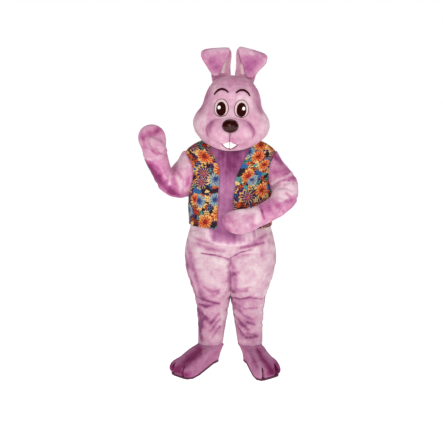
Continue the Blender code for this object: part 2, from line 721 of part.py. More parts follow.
def shoulder_top(points):
    """The height of the vest's outer face over the shoulders, at each point's x and y."""
    heights = np.linspace(BODY[8, 0], BODY[-1, 0], 240)
    sections = [np.interp(heights, BODY[:, 0], BODY[:, column]) for column in (1, 2, 3)]
    x, y = np.abs(points[..., 0])[..., None], points[..., 1][..., None]
    depth = np.where(y < 0, sections[1], sections[2])
    inside = (x / sections[0]) ** BODY_POWER + (np.abs(y) / depth) ** BODY_POWER < 1
    top = np.where(inside, heights, 0).max(axis=-1)
    return top + VEST_CLOSE + VEST_EASE + VEST_WALL


def make_head(head, plush, pale_plush):
    columns = np.linspace(0, 2 * math.pi, 4 * HEAD_COLUMNS, endpoint=False)
    along = head.marks[list(HEAD_ROWS_KEPT)]
    angles, along = np.meshgrid(columns, along)
    outer = place_head(head.points(angles, along))
    inner = place_head(head.points(angles, along) - HEAD_WALL * head.normals(angles, along))
    inner[-1] = outer[-1] - np.array([0, 0, HEAD_WALL])
    for row in (0, 1):
        raised = np.maximum(outer[row, :, 2], shoulder_top(outer[row]) + HEAD_REST_GAP)
        inner[row, :, 2] += raised - outer[row, :, 2]
        outer[row, :, 2] = raised
    sheet = Sheet(outer, inner, wrap=True, tip=True)
    bands = range(CROWN_FIRST_ROW)
    quarter = HEAD_COLUMNS
    cut_piece("head_face", sheet, sheet.cells(bands, range(-quarter, quarter)), pale_plush)
    cut_piece("head_back", sheet, sheet.cells(bands, range(quarter, 3 * quarter)), plush)
    crown = range(CROWN_FIRST_ROW, len(HEAD_ROWS_KEPT) - 1)
    cut_piece("head_crown", sheet, sheet.cells(crown, range(4 * quarter)), plush)


class Face:
    """The front of the head as a surface over x and height, in the upright head."""

    def __init__(self, head):
        self.head = head

    def places(self, x, height):
        angles = np.arctan2(x, 200.0)
        along = np.interp(height, self.head.points(np.zeros(200), np.linspace(
            self.head.marks[2], self.head.marks[-2], 200))[:, 2],
            np.linspace(self.head.marks[2], self.head.marks[-2], 200))
        for _ in range(12):
            here = self.head.points(angles, along)
            by_angle = (self.head.points(angles + STEP_ANGLE, along) - here) / STEP_ANGLE
            by_along = (self.head.points(angles, along + STEP) - here) / STEP
            miss_x, miss_h = x - here[..., 0], height - here[..., 2]
            size = by_angle[..., 0] * by_along[..., 2] - by_angle[..., 2] * by_along[..., 0]
            angles = angles + (miss_x * by_along[..., 2] - miss_h * by_along[..., 0]) / size
            along = along + (miss_h * by_angle[..., 0] - miss_x * by_angle[..., 2]) / size
        return angles, along

    def surface(self, x, height, lift):
        angles, along = self.places(x, height)
        normals = self.head.normals(angles, along)
        return self.head.points(angles, along) + normals * np.asarray(lift)[..., None]


def add_patch(name, face, x, height, lift, thickness, material):
    """A piece lying on the face, from rows of x and height that shrink to its middle."""
    lift = np.broadcast_to(lift, x.shape)
    inner = place_head(face.surface(x, height, lift))
    outer = place_head(face.surface(x, height, lift + thickness))
    sheet = Sheet(outer, inner, wrap=True, tip=True)
    cut_piece(name, sheet, sheet.all_cells(), material)


def disc_rows(shape, mirror):
    """Rows of an oval patch: x and height at each share of its outline, the last one its middle."""
    turn = np.linspace(0, 2 * math.pi, shape["columns"], endpoint=False)
    shares = np.array(shape["rows"])[:, None]
    x = mirror * shape.get("x", 0.0) + shares * shape["half_width"] * np.cos(turn)
    height = shape["height"] + shares * shape["half_height"] * np.sin(turn)
    return x, height, np.broadcast_to(shares, x.shape)


def muzzle_rows():
    turn = np.linspace(0, 2 * math.pi, MUZZLE["columns"], endpoint=False)
    power = MUZZLE["power"]
    reach = (np.abs(np.cos(turn)) ** power + np.abs(np.sin(turn)) ** power) ** (-1 / power)
    x = MUZZLE["half_width"] * np.cos(turn) * reach
    notch = 1 - MUZZLE["notch"] * np.exp(-(x / MUZZLE["notch_width"]) ** 2)
    rise = np.where(np.sin(turn) > 0, MUZZLE["above"], MUZZLE["below"] * notch) * np.sin(turn) * reach
    shares = np.array(MUZZLE["rows"])[:, None]
    return shares * x, MUZZLE["height"] + shares * rise, shares + 0 * x


def muzzle_thickness(x, height):
    """The pad's thickness at a place on the muzzle, from its share of the way to the edge."""
    above = height > MUZZLE["height"]
    rise = np.where(above, MUZZLE["above"], MUZZLE["below"])
    share = ((np.abs(x) / MUZZLE["half_width"]) ** 2
             + (np.abs(height - MUZZLE["height"]) / rise) ** 2) ** 0.5
    return MUZZLE["rim"] + MUZZLE["dome"] * np.sqrt(np.clip(1 - share ** 2.4, 0, 1))


def make_muzzle(face, plush, vinyl):
    x, height, shares = muzzle_rows()
    thickness = np.where(shares == 1, MUZZLE["rim"], muzzle_thickness(x, height))
    add_patch("muzzle", face, x, height, FACE_GAP, thickness, plush)
    x, height, shares = disc_rows(NOSE, 0)
    lift = FACE_GAP * 2 + muzzle_thickness(x, height)
    thickness = NOSE["rim"] + NOSE["dome"] * np.sqrt(1 - shares ** 2)
    add_patch("nose", face, x, height, lift, thickness, vinyl)


def make_eyes(face, white, black):
    for side_name, mirror in (("right", -1), ("left", 1)):
        x, height, _ = disc_rows(EYE, mirror)
        add_patch("eye_white_" + side_name, face, x, height, FACE_GAP, FELT, white)
        x, height, _ = disc_rows(PUPIL, mirror)
        add_patch("pupil_" + side_name, face, x, height, 2 * FACE_GAP + FELT, FELT, black)
        x, height, _ = disc_rows(GLINT, mirror)
        add_patch("glint_" + side_name, face, x, height, 3 * FACE_GAP + 2 * FELT, FELT / 2, white)


def make_strip(name, face, x, height, lift, thickness, material):
    inner = place_head(face.surface(x, height, np.broadcast_to(lift, x.shape)))
    outer = place_head(face.surface(x, height, np.broadcast_to(lift + thickness, x.shape)))
    sheet = Sheet(outer, inner)
    cut_piece(name, sheet, sheet.all_cells(), material)


def make_brows_and_teeth(face, black, white):
    places = np.linspace(0, len(BROW) - 1, BROW_COLUMNS)
    line = [np.interp(places, range(len(BROW)), BROW[:, column]) for column in range(3)]
    for side_name, mirror in (("right", -1), ("left", 1)):
        x = np.array([mirror * line[0]] * 2)
        height = np.array([line[1] - line[2], line[1] + line[2]])
        make_strip("brow_" + side_name, face, x, height, FACE_GAP, FELT + 1, black)
        across = np.linspace(TOOTH["inner"], TOOTH["outer"], TOOTH["columns"])
        notch = 1 - MUZZLE["notch"] * np.exp(-(across / MUZZLE["notch_width"]) ** 2)
        share = (1 - (across / MUZZLE["half_width"]) ** MUZZLE["power"]) ** (1 / MUZZLE["power"])
        top = MUZZLE["height"] - MUZZLE["below"] * share * notch - 3 * FACE_GAP
        tip = TOOTH["tip"] + TOOTH["rise"] * (across / TOOTH["outer"]) ** 3
        height = tip + (top - tip) * np.linspace(0, 1, TOOTH["rows"])[:, None]
        x = np.broadcast_to(mirror * across, height.shape)
        make_strip("tooth_" + side_name, face, x, height, FACE_GAP, TOOTH["thickness"], white)


# ---------------------------------------------------------------- ears

def ear_ring(side, width_share, tilt_share):
    middles = EAR[:, 0:3] * np.array([side, 1, 1]) + np.array([EAR_MIDDLE, 0, 0])
    ways = unit(np.gradient(middles, axis=0))
    half_widths = EAR[:, 3] * width_share
    half_thicknesses = EAR[:, 4] / 2
    tilts = np.radians(EAR[:, 5]) * tilt_share

    def ring(k, angles):
        across = np.array([math.cos(tilts[k]), 0, -side * math.sin(tilts[k])])
        off = unit(np.cross(ways[k], across))
        c, s = np.cos(angles), np.sin(angles)
        raised = half_thicknesses[k] * np.sign(s) * np.abs(s) ** EAR_FULLNESS
        return middles[k] + (half_widths[k] * c)[:, None] * across + raised[:, None] * off
    return ring


def crown_height(x, y, head):
    """The crown's height under a point, in the upright head."""
    samples = head.points(np.arctan2(x, -y)[..., None], np.linspace(head.marks[-6], head.marks[-1], 160))
    reach = np.hypot(samples[..., 0], samples[..., 1])
    wanted = np.hypot(x, y)
    pick = np.abs(reach - wanted[..., None]).argmin(axis=-1)
    return np.take_along_axis(samples[..., 2], pick[..., None], axis=-1)[..., 0]


def make_ear(side_name, head, plush, lining_plush):
    loft = Loft(ear_ring(*EARS[side_name]), len(EAR))
    columns = np.linspace(0, 2 * math.pi, EAR_COLUMNS, endpoint=False)
    angles, along = np.meshgrid(columns, loft.marks)
    rings = loft.points(angles, along)
    rings[0, :, 2] = crown_height(rings[0, :, 0], rings[0, :, 1], head) + EAR_GAP
    outward = loft.normals(angles, along)
    if np.dot(outward[2, 3], rings[2, 3] - rings[2].mean(axis=0)) < 0:
        outward = -outward
    add_solid("ear_" + side_name, place_head(rings), plush)
    rows, picks = slice(*LINING_ROWS), slice(*LINING_COLUMNS)
    base = rings[rows, picks]
    off = outward[rows, picks]
    sheet = Sheet(place_head(base + off * (LINING_GAP + LINING_WALL)), place_head(base + off * LINING_GAP))
    cut_piece("ear_lining_" + side_name, sheet, sheet.all_cells(), lining_plush)


# ---------------------------------------------------------------- vest

def vest_sheet(body, angles, heights):
    along = body.along_for_height(heights, 0.0)
    ground = body.points(angles, along)
    normals = body.normals(angles, along)
    lift = vest_lift(ground)[..., None]
    return Sheet(ground + normals * (lift + VEST_WALL), ground + normals * lift, ground=ground)


def vest_front_angles(height, edge_x):
    """From the vest's front edge to its side: two places of its own, then the trunk's columns."""
    section = np.interp(height, BODY[:, 0], BODY[:, 1])
    edge = angle_at(edge_x / section, BODY_POWER)
    side = armhole_angle(height, True)
    own = [edge, (edge + side * BELLY_COLUMNS / FRONT_COLUMNS) / 2]
    shared = [side * column / FRONT_COLUMNS for column in range(BELLY_COLUMNS, FRONT_COLUMNS + 1)]
    least = edge + (side - edge) * VEST_SPREAD * np.arange(len(own) + len(shared))
    return np.minimum(np.maximum(own + shared, least), side)


def make_vest(body, print_cloth):
    for side_name, side, column in (("right", -1, 1), ("left", 1, 2)):
        angles, heights = [], []
        count = FRONT_COLUMNS - BELLY_COLUMNS + 3
        hem = np.linspace(VEST_HEM_FRONT, VEST_HEM_SIDE, count)
        for row in (hem,) + VEST_ROWS:
            row = np.broadcast_to(row, hem.shape)
            edge_x = np.interp(row[0], VEST_EDGE[:, 0], VEST_EDGE[:, column])
            angles.append(side * vest_front_angles(row[0], edge_x))
            heights.append(row)
        sheet = vest_sheet(body, np.array(angles), np.array(heights, float))
        cut_piece("vest_front_" + side_name, sheet, sheet.all_cells(), print_cloth)
    angles, heights = [], []
    for height in (VEST_HEM_SIDE,) + VEST_ROWS:
        edge = armhole_angle(height, False)
        angles.append(np.linspace(edge, 2 * math.pi - edge, 2 * BACK_COLUMNS + 1))
        heights.append([height] * (2 * BACK_COLUMNS + 1))
    sheet = vest_sheet(body, np.array(angles), np.array(heights, float))
    cut_piece("vest_back", sheet, sheet.all_cells(), print_cloth)


# ---------------------------------------------------------------- costume

for old in list(bpy.data.objects):
    bpy.data.objects.remove(old, do_unlink=True)
COSTUME = bpy.data.collections.new("rabbit_costume")
bpy.context.scene.collection.children.link(COSTUME)

lilac_plush = make_material("lilac_plush", LILAC, 0.9)
pale_plush = make_material("pale_lilac_plush", PALE_LILAC, 0.9)
mauve_plush = make_material("mauve_short_plush", MAUVE, 0.9)
lining_plush = make_material("cream_pink_lining", CREAM_PINK, 0.8)
print_cloth = make_material("printed_cotton", PRINT_ORANGE, 0.7)
brown_vinyl = make_material("dark_brown_vinyl", DARK_BROWN, 0.25)
white_felt = make_material("white_felt", WHITE, 0.8)
sole_rubber = make_material("sole_rubber", SOLE_GREY, 0.7)

trunk = Loft(body_ring, len(BODY))
make_body(trunk, lilac_plush, mauve_plush)
for name, side in (("right", -1), ("left", 1)):
    make_leg(name, side, lilac_plush)
    make_foot(name, FEET[name], mauve_plush, sole_rubber)
for name, side, table in (("right", -1, RIGHT_ARM), ("left", 1, LEFT_ARM)):
    arm, cuff = make_arm(trunk, name, side, table, lilac_plush, pale_plush)
    make_thumb(name, side, arm, cuff, pale_plush)
skull = Loft(head_ring, len(HEAD))
make_head(skull, lilac_plush, pale_plush)
visage = Face(skull)
make_muzzle(visage, pale_plush, brown_vinyl)
make_eyes(visage, white_felt, brown_vinyl)
make_brows_and_teeth(visage, brown_vinyl, white_felt)
for name in EARS:
    make_ear(name, skull, lilac_plush, lining_plush)
make_vest(trunk, print_cloth)
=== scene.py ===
"""Dresses the rabbit costume's solids in plush, printed cotton, felt and vinyl.

Tables and lengths are in millimetres and heights are counted from the soles, as in the part's own
source; meshes are made in metres, about the point between the wearer's shoulders.
"""
import json
import math

import bpy
import numpy as np
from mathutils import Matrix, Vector
from mathutils.kdtree import KDTree


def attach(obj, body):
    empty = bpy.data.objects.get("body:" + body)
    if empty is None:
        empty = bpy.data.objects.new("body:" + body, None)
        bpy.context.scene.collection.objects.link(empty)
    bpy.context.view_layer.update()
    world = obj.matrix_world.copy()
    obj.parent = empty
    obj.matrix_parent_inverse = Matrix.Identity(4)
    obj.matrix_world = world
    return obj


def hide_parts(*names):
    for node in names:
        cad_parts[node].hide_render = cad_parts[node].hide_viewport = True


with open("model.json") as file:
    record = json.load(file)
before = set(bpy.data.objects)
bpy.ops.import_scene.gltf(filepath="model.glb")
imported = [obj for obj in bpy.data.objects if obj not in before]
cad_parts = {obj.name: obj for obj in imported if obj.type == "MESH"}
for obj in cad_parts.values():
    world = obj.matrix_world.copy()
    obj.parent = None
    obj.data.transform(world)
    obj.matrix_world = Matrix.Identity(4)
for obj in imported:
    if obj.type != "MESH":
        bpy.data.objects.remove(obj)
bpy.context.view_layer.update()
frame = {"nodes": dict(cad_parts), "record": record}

SHOULDER_HEIGHT = 1430.0
METRES = 0.001
QUARTER = math.pi / 2
TURN = 2 * math.pi
PLUSH_WALL = 3.0
VEST_WALL = 1.6
HEAD_WALL = 8.0
STEP = 0.5                    # how far slopes are felt, along a loft and round it
STEP_ANGLE = 0.004
FORWARD = np.array([0.0, -1.0, 0.0])
WHITE = (1.0, 1.0, 1.0, 1.0)
SHARP_ANGLE = math.radians(60)
CORD_SIDES = 10
SEAM_GAP = 0.2                # each edge stands back this far from its seam line
SEAM_DIP = 2.6                # how far plush pulls in at a seam
SEAM_REACH = 5.0
RIDGE_SHARE = 0.4             # the low ridges beside a fold's trough: height, and place and width
RIDGE_PLACE = 1.9             # in half widths of the trough
RIDGE_WIDTH = 0.9
DEEP_FOLD = 7.0               # the depth from which a fold has its whole painted shade
FOLD_FADE, LUMP_FADE = 12.0, 25.0  # folds and unevenness die out this far from a seam
CELL = 8.0                    # the cloth's mesh size
STREAK_SHARE = 0.8            # how much the painted shading streaks below count
FOLD_PAINTED_SHADE = 0.2               # how much deeper the colour is in a fold: painted shade in its trough
TOE_CORNERS = np.array([0.955, 0.97, 0.985, 0.995])

# ---------------------------------------------------------------- the costume's shapes

BODY = np.array([
    # height, half width, front, back
    (790, 302, 178, 170), (840, 293, 178, 165), (900, 278, 172, 156), (958, 262, 164, 148),
    (1020, 263, 162, 146), (1100, 270, 162, 148), (1200, 281, 158, 150), (1300, 289, 150, 150),
    (1375, 294, 138, 145), (1415, 295, 126, 136), (1443, 282, 117, 127), (1466, 250, 109, 119),
    (1487, 204, 102, 111), (1502, 160, 98, 105), (1514, 131, 96, 101), (1528, 115, 96, 99),
    (1548, 111, 97, 98)], float)
BODY_POWER = 2.3
ROWS_SIDE = (790, 845, 900, 985, 1060, 1140, 1170, 1225, 1288, 1351, 1406, 1436, 1466,
             1487, 1502, 1522, 1548)
ROWS_FRONT = (790, 810, 838, 955) + ROWS_SIDE[4:]
BELLY_SHARE = 3 / 8           # of the way from the centre front to the side
BELLY_FOOT = 900.0            # the side height of the row where the belly panel begins
DIP_SHARE = 3.3 / 8
ARMHOLE_HEIGHT = 1288.0
ARMHOLE_HALF_HEIGHT = 148.0
ARMHOLE_HALF_DEPTH = 96.0

LEG = np.array([
    # height, outer edge, inner edge, front, back
    (790, 302, -302, 178, 170), (740, 303, -250, 180, 172), (680, 297, -185, 176, 170),
    (620, 285, -112, 166, 162), (560, 266, -58, 150, 150), (500, 245, -20, 132, 136),
    (450, 234, 1, 118, 122), (400, 225, 13, 106, 112), (340, 222, 21, 102, 108),
    (280, 216, 31, 97, 101), (220, 217, 40, 92, 95), (152.4, 218, 50, 84, 84)], float)
LEG_POWER = 2.1
MIDDLE_GAP = 0.3
SEAM_TOP = 790.0

RIGHT_ARM = np.array([
    # top x, top y, top h, under x, under y, under h, half depth
    (-338, -26, 1377, -332, -28, 1133, 92), (-364, -52, 1330, -392, -62, 1149, 84),
    (-379, -85, 1322, -443, -95, 1190, 76), (-383, -125, 1350, -491, -135, 1281, 70),
    (-388, -160, 1388, -520, -165, 1345, 67), (-393, -188, 1420, -538, -192, 1399, 63),
    (-398, -208, 1455, -546, -212, 1446, 47), (-397, -220, 1514, -567, -222, 1511, 39),
    (-407, -224, 1553, -560, -224, 1551, 35), (-428, -225, 1580, -538, -225, 1580, 27),
    (-455, -225, 1595, -508, -225, 1595, 15), (-481, -225, 1600, -481, -225, 1600, 0)], float)
LEFT_ARM = np.array([
    (322, -12, 1382, 286, -22, 1160, 92), (367, -35, 1334, 287, -52, 1188, 86),
    (415, -55, 1265, 288, -85, 1205, 80), (428, -85, 1195, 280, -115, 1202, 76),
    (412, -135, 1115, 266, -142, 1190, 72), (338, -182, 1049, 249, -184, 1156, 68),
    (249, -214, 1002, 204, -214, 1127, 65), (176, -236, 971, 162, -236, 1108, 61),
    (117, -245, 942, 116, -245, 1089, 45), (55, -247, 926, 54, -247, 1085, 38),
    (-1, -245, 938, -1, -245, 1072, 36), (-32, -243, 958, -32, -243, 1055, 27),
    (-49, -241, 985, -49, -241, 1034, 15), (-57, -241, 1010, -57, -241, 1010, 0)], float)
ARMS = {"right": (-1, RIGHT_ARM), "left": (1, LEFT_ARM)}
ARMHOLE_X = 280.0
ARM_RISE = 4.0
ARM_INSET = 0.35
MITT_SECTIONS = 7

THUMB = np.array([
    # degrees round the mitt, past cuff, half width, half thickness
    (36, 34, 18, 13), (48, 52, 25, 19), (66, 76, 27, 21), (84, 98, 25, 20), (96, 114, 17, 14),
    (103, 124, 0, 0)], float)
THUMBS = {"right": (1.0, -0.1), "left": (0.62, 2.2)}

FOOT = np.array([
    # height, front reach, back reach, half width at toes and at heel, heel's shift out, toe slits' depth
    (14, 312, 70, 96, 38, 13, 24), (34, 322, 74, 101, 41, 13, 30), (58, 318, 76, 100, 45, 12, 24),
    (78, 299, 77, 96, 50, 9, 8), (95, 257, 77, 89, 55, 6, 0), (112, 203, 77, 82, 61, 3, 0),
    (130, 148, 78, 77, 69, 0, 0), (144, 96, 80, 79, 78, 0, 0), (149.5, 83, 82, 81, 81, 0, 0),
    (151.5, 77.6, 77.6, 77.6, 77.6, 0, 0), (176, 77.6, 77.6, 77.6, 77.6, 0, 0)], float)
TOE_POWER = 5.0
TOE_START = 0.85
TOED_REACH = 30.0             # a section that reaches this far past its heel has toes
TOE_RISE_REACH, TOE_RISE_FADE = 257.0, 50.0
OUTER_WIDER = 0.2             # how much wider the outer side of the toes is, as a share
COLLAR_SECTION = 7
# End radius and swell of the dark cords laid in the toe slits as painted shade.
SLIT_RADIUS, SLIT_SWELL = 1.0, 7.0
SLIT_HALF_WIDTH = 0.08
ANKLE_X = 133.0
FEET = {                      # slits are placed by their share of the half width
    "right": {"side": -1, "turned_out": 39.0, "slits": (-0.3, 0.5), "slant": 0.0},
    "left": {"side": 1, "turned_out": 23.0, "slits": (-0.5, 0.45), "slant": 42.0}}

HEAD = np.array([
    # side height, front height, back height, half width, front, back
    (1511, 1456, 1500, 157, 128, 136), (1502, 1437, 1484, 187, 164, 166),
    (1521, 1449, 1502, 206, 188, 184), (1547, 1484, 1530, 228, 202, 198),
    (1573, 1525, 1562, 240, 210, 208), (1600, 1566, 1595, 246, 214, 214),
    (1624, 1602, 1621, 245, 216, 218), (1649, 1637, 1647, 237, 216, 220),
    (1674, 1668, 1673, 223, 214, 221), (1699, 1697, 1699, 204, 212, 220),
    (1726, 1726, 1726, 190, 209, 218), (1765, 1765, 1765, 181, 202, 213),
    (1805, 1805, 1805, 169, 190, 202), (1845, 1845, 1845, 148, 168, 178),
    (1874, 1874, 1874, 124, 142, 149), (1895, 1895, 1895, 93, 104, 108),
    (1908, 1908, 1908, 52, 58, 60), (1912, 1912, 1912, 0, 0, 0)], float)
HEAD_POWER = 2.15
CROWN_SECTION = 13
HEAD_PIVOT = np.array([-4.0, 0.0, 1440.0])
HEAD_TILT = math.radians(2.8)
HEAD_TURN = math.radians(2.2)
HEAD_REST_GAP = 7.3
CREASE_PAINTED_SHADE = 0.6            # painted shade in the crease beside the muzzle: how deep the face's colour is there

MUZZLE = {"height": 1562.0, "half_width": 140.0, "above": 74.0, "below": 86.0, "dome": 36.0,
          "rim": 3.0, "notch": 0.25, "notch_width": 30.0, "power": 2.3}
NOSE = {"height": 1589.0, "half_width": 45.0, "half_height": 40.0, "dome": 52.0, "rim": 4.0}
EYE = {"x": 61.0, "height": 1692.0, "half_width": 42.0, "half_height": 55.0}
PUPIL = {"x": 60.5, "height": 1688.0, "half_width": 28.5, "half_height": 42.5}
GLINT = {"x": 72.0, "height": 1695.0, "half_width": 9.0, "half_height": 11.0}
GROOVE = {"depth": 9.0, "half_width": 9.0, "top": 1575.0, "fade": 25.0}
MUZZLE_SPLIT = (1550.0, 1496.0)
MOUTH = [(-50, 1481), (-40, 1470), (-20, 1458), (0, 1452), (22, 1457), (40, 1469), (50, 1481)]
FELT = 3.0
FACE_GAP = 0.6
TOOTH = {"inner": 1.2, "outer": 43.0, "tip": 1453.0, "rise": 17.0, "thickness": 9.0}
BROW = [(22, 1787), (40, 1801), (65, 1807), (90, 1795), (107, 1774)]

EAR = np.array([
    # x, y, height, half width, thickness, inner side up (degrees)
    (70, 6, 1894, 58, 15, 0), (78, 9, 1925, 64, 15, 2), (89, 12, 1955, 71, 15, 4),
    (103, 13, 1990, 85, 15, 6), (111, 11, 2025, 96, 15, 9), (113, 4, 2056, 94, 15, 12),
    (113, -14, 2072, 80, 15, 13), (117, -34, 2058, 90, 14, 12), (122, -46, 2025, 85, 14, 9),
    (120, -51, 1990, 69, 14, 6), (116, -55, 1955, 50, 13, 4), (111, -60, 1925, 34, 12, 2),
    (108, -66, 1901, 15, 9, 0)], float)
EAR_FULLNESS = 0.7
EARS = {"right": (-1, 0.99, 0.5), "left": (1, 1.04, 1.0)}
EAR_MIDDLE = -5.0
EAR_GAP = 1.4
LINING_SECTIONS = (1, 11)
# On each ear's lining: below 0 a paler strip of painted light where the fold opens, above 0 painted shade.
LINING_SHADING_STREAKS = {
    "right": {"front": [(13, -0.9, -28, 2067, -44, 1994, -56, 1902)]},
    "left": {"front": [(11, -0.8, 72, 1975, 80, 1885), (10, 0.4, 57, 2055, 70, 2000)]}}
LINING_TURNS = (210.0, 330.0)   # the inside of the fold
LINING_GAP = 0.5
LINING_WALL = 2.0

VEST_EDGE = np.array([
    # height, right front's edge, left front's edge
    (940, 92, 66), (985, 88, 34), (1063, 81, 13), (1120, 80, 13), (1183, 79, 19),
    (1240, 74, 26), (1283, 71, 36), (1329, 74, 56), (1401, 101, 96), (1440, 120, 114),
    (1474, 138, 129), (1510, 145, 136)], float)
VEST_DROP_TOP = 1060.0        # below here its rows come down to its hem
STITCH_INSET, STITCH_LIFT = 9.0, 0.3
STITCH = {"Pitch": 0.009, "Thread half length": 0.0026, "Thread radius": 0.0005}  # in metres
VEST_HEM_SIDE = 968.0
VEST_HEM_FRONT = 948.0
VEST_LONGER = {"right": 0.0, "left": 11.0}  # how far the hem sags between its edges
VEST_TOP = 1500.0
VEST_CLOSE = 0.5
VEST_EASE = 5.0
VEST_FLARE = 6.0              # how far its free edges stand away from the suit
VEST_FLARE_REACH = 32.0

FLOOR_REACH = 30.0            # this and the camera are in metres
CAMERA_SENSOR, CAMERA_LENS = 36.0, 45.785
CAMERA_PLACE = (-0.05939, -3.686, 0.02985)
CAMERA_TILT = math.radians(7.4959)

# Folds in the cloth, by the side they are seen from: half width and depth of the trough, then its
# line's points, as x and height (from the front or back) or y and height (from a side).
TRUNK_FOLDS = {
    "front": [(12, 5, -237, 893, -164, 868, -80, 865), (15, 6, -218, 850, -140, 826, -70, 812, -30, 806),
        (13, 5, -245, 946, -205, 924, -181, 909), (14, 6, 58, 834, 122, 846, 211, 856),
        (10, 4, 162, 885, 214, 897)],
    "left": [(16, 6, -120, 862, -40, 848, 60, 858, 120, 845), (13, 5, -90, 905, 0, 918, 90, 900)],
    "right": [(16, 6, -120, 855, -30, 862, 70, 846, 125, 860), (12, 5, -100, 930, -10, 915, 80, 925)],
    "back": [(16, 6, -230, 862, -140, 838, -30, 828), (14, 6, 40, 832, 150, 846, 235, 870),
        (12, 5, -235, 925, -120, 905, -40, 912), (12, 4, 60, 900, 150, 912, 225, 930)]}
LEG_FOLDS = {
    "front": [(13, 7, -215, 797, -120, 793, -60, 776, -10, 752),
        (13, 7, 10, 752, 65, 780, 126, 790, 200, 786), (10, 4, 8, 655, 66, 679),
        (11, 5, 4, 534, 83, 550, 140, 569), (12, 6, -174, 571, -113, 538, -64, 550),
        (14, 5, -278, 758, -242, 679, -191, 513), (14, 4, 12, 738, 30, 650, 44, 540),
        (15, 8, -226, 484, -147, 463, -60, 446), (11, 6, -207, 440, -129, 432),
        (13, 6, -207, 391, -148, 337), (11, 6, -65, 384, -110, 335, -148, 291),
        (11, 6, -58, 352, -118, 276), (11, 5, -58, 291, -118, 237), (10, 4, -201, 287, -141, 268),
        (15, 8, 20, 484, 62, 470, 125, 493, 196, 468), (11, 6, 22, 450, 55, 426, 99, 399),
        (10, 5, 114, 408, 175, 419), (12, 6, 34, 346, 70, 310, 115, 283), (11, 5, 107, 332, 163, 304),
        (12, 6, 46, 272, 72, 237, 112, 209), (10, 4, 104, 232, 145, 215, 190, 232)],
    "left": [(14, 7, -90, 480, -10, 462, 80, 478), (12, 6, -80, 405, 0, 372, 75, 385),
        (12, 5, -70, 310, 10, 288, 70, 300), (15, 5, -120, 700, 0, 670, 110, 690),
        (13, 5, -110, 590, 10, 560, 100, 585)],
    "right": [(14, 7, -85, 470, 5, 486, 85, 466), (12, 6, -75, 395, -5, 410, 80, 380),
        (12, 5, -70, 290, 5, 318, 70, 296), (15, 5, -110, 690, 5, 720, 115, 700),
        (13, 5, -100, 600, 0, 580, 105, 604)],
    "back": [(15, 7, -230, 760, -130, 742, -25, 768), (15, 7, 25, 772, 120, 745, 235, 765),
        (15, 8, -220, 492, -130, 470, -45, 486), (15, 8, 40, 480, 125, 502, 215, 480),
        (12, 6, -205, 432, -120, 445, -60, 425), (12, 6, 50, 430, 130, 415, 205, 440),
        (12, 6, -195, 372, -130, 330, -75, 348), (12, 6, 65, 352, 135, 380, 200, 350),
        (11, 5, -200, 270, -125, 252, -70, 270), (11, 5, 60, 280, 125, 300, 195, 262),
        (13, 5, -215, 625, -120, 600, -50, 630), (13, 5, 50, 640, 130, 610, 210, 622)]}
SLEEVE_FOLDS = {
    "right": {"front": [(12, 6, -352, 1345, -372, 1290, -366, 1235),
            (12, 6, -368, 1268, -420, 1232, -452, 1226), (10, 5, -372, 1225, -392, 1196, -388, 1165),
            (11, 5, -392, 1300, -440, 1284, -480, 1292), (10, 4, -400, 1345, -452, 1340, -505, 1362)],
        "back": [(12, 6, -345, 1350, -372, 1290, -380, 1230), (12, 6, -370, 1250, -420, 1225, -455, 1240),
            (11, 5, -395, 1310, -440, 1290, -485, 1300)],
        "right": [(12, 6, -140, 1240, -90, 1225, -40, 1245), (11, 5, -175, 1330, -130, 1300, -90, 1290)]},
    "left": {"front": [(12, 7, 262, 1196, 300, 1212, 330, 1230, 405, 1284),
            (11, 6, 296, 1214, 340, 1207, 392, 1196), (10, 5, 318, 1186, 350, 1172, 376, 1152),
            (10, 5, 296, 1160, 330, 1150, 350, 1128), (11, 6, 262, 1150, 285, 1108, 330, 1062),
            (10, 5, 232, 1110, 262, 1060, 290, 1030), (10, 4, 350, 1290, 372, 1318, 368, 1345)],
        "back": [(12, 7, 290, 1190, 340, 1225, 405, 1262), (11, 6, 300, 1180, 350, 1165, 400, 1160)],
        "left": [(12, 6, -110, 1215, -60, 1190, -20, 1200), (11, 6, -160, 1150, -110, 1130, -60, 1140),
            (11, 5, -90, 1290, -50, 1270, 0, 1282)]}}
MITT_FOLDS = {
    "right": {"front": [(9, 3, -535, 1440, -508, 1462, -500, 1490)],
        "back": [(9, 3, -520, 1440, -480, 1455, -430, 1448)]},
    "left": {"front": [(9, 3, 120, 1075, 128, 1030, 118, 975), (8, 3, 150, 1040, 135, 1000, 140, 965)]}}
VEST_FOLDS = {
    "front": [(14, 3.2, -235, 1180, -190, 1120, -150, 1000), (12, 2.6, -225, 1120, -205, 1040, -195, 985),
        (14, 3.2, 228, 1170, 180, 1100, 140, 985), (12, 2.6, 120, 1400, 150, 1340, 205, 1300),
        (12, 2.6, -125, 1390, -160, 1330, -212, 1290)],
    "back": [(14, 3.2, -220, 1190, -170, 1090, -150, 985), (14, 3.2, 215, 1180, 165, 1080, 160, 990),
        (13, 3, -60, 1240, -40, 1120, -55, 1000), (12, 2.6, 70, 1330, 60, 1180, 75, 1040)]}
VIEWS = {"front": (0, (0, -1, 0)), "back": (0, (0, 1, 0)), "left": (1, (1, 0, 0)),
         "right": (1, (-1, 0, 0))}
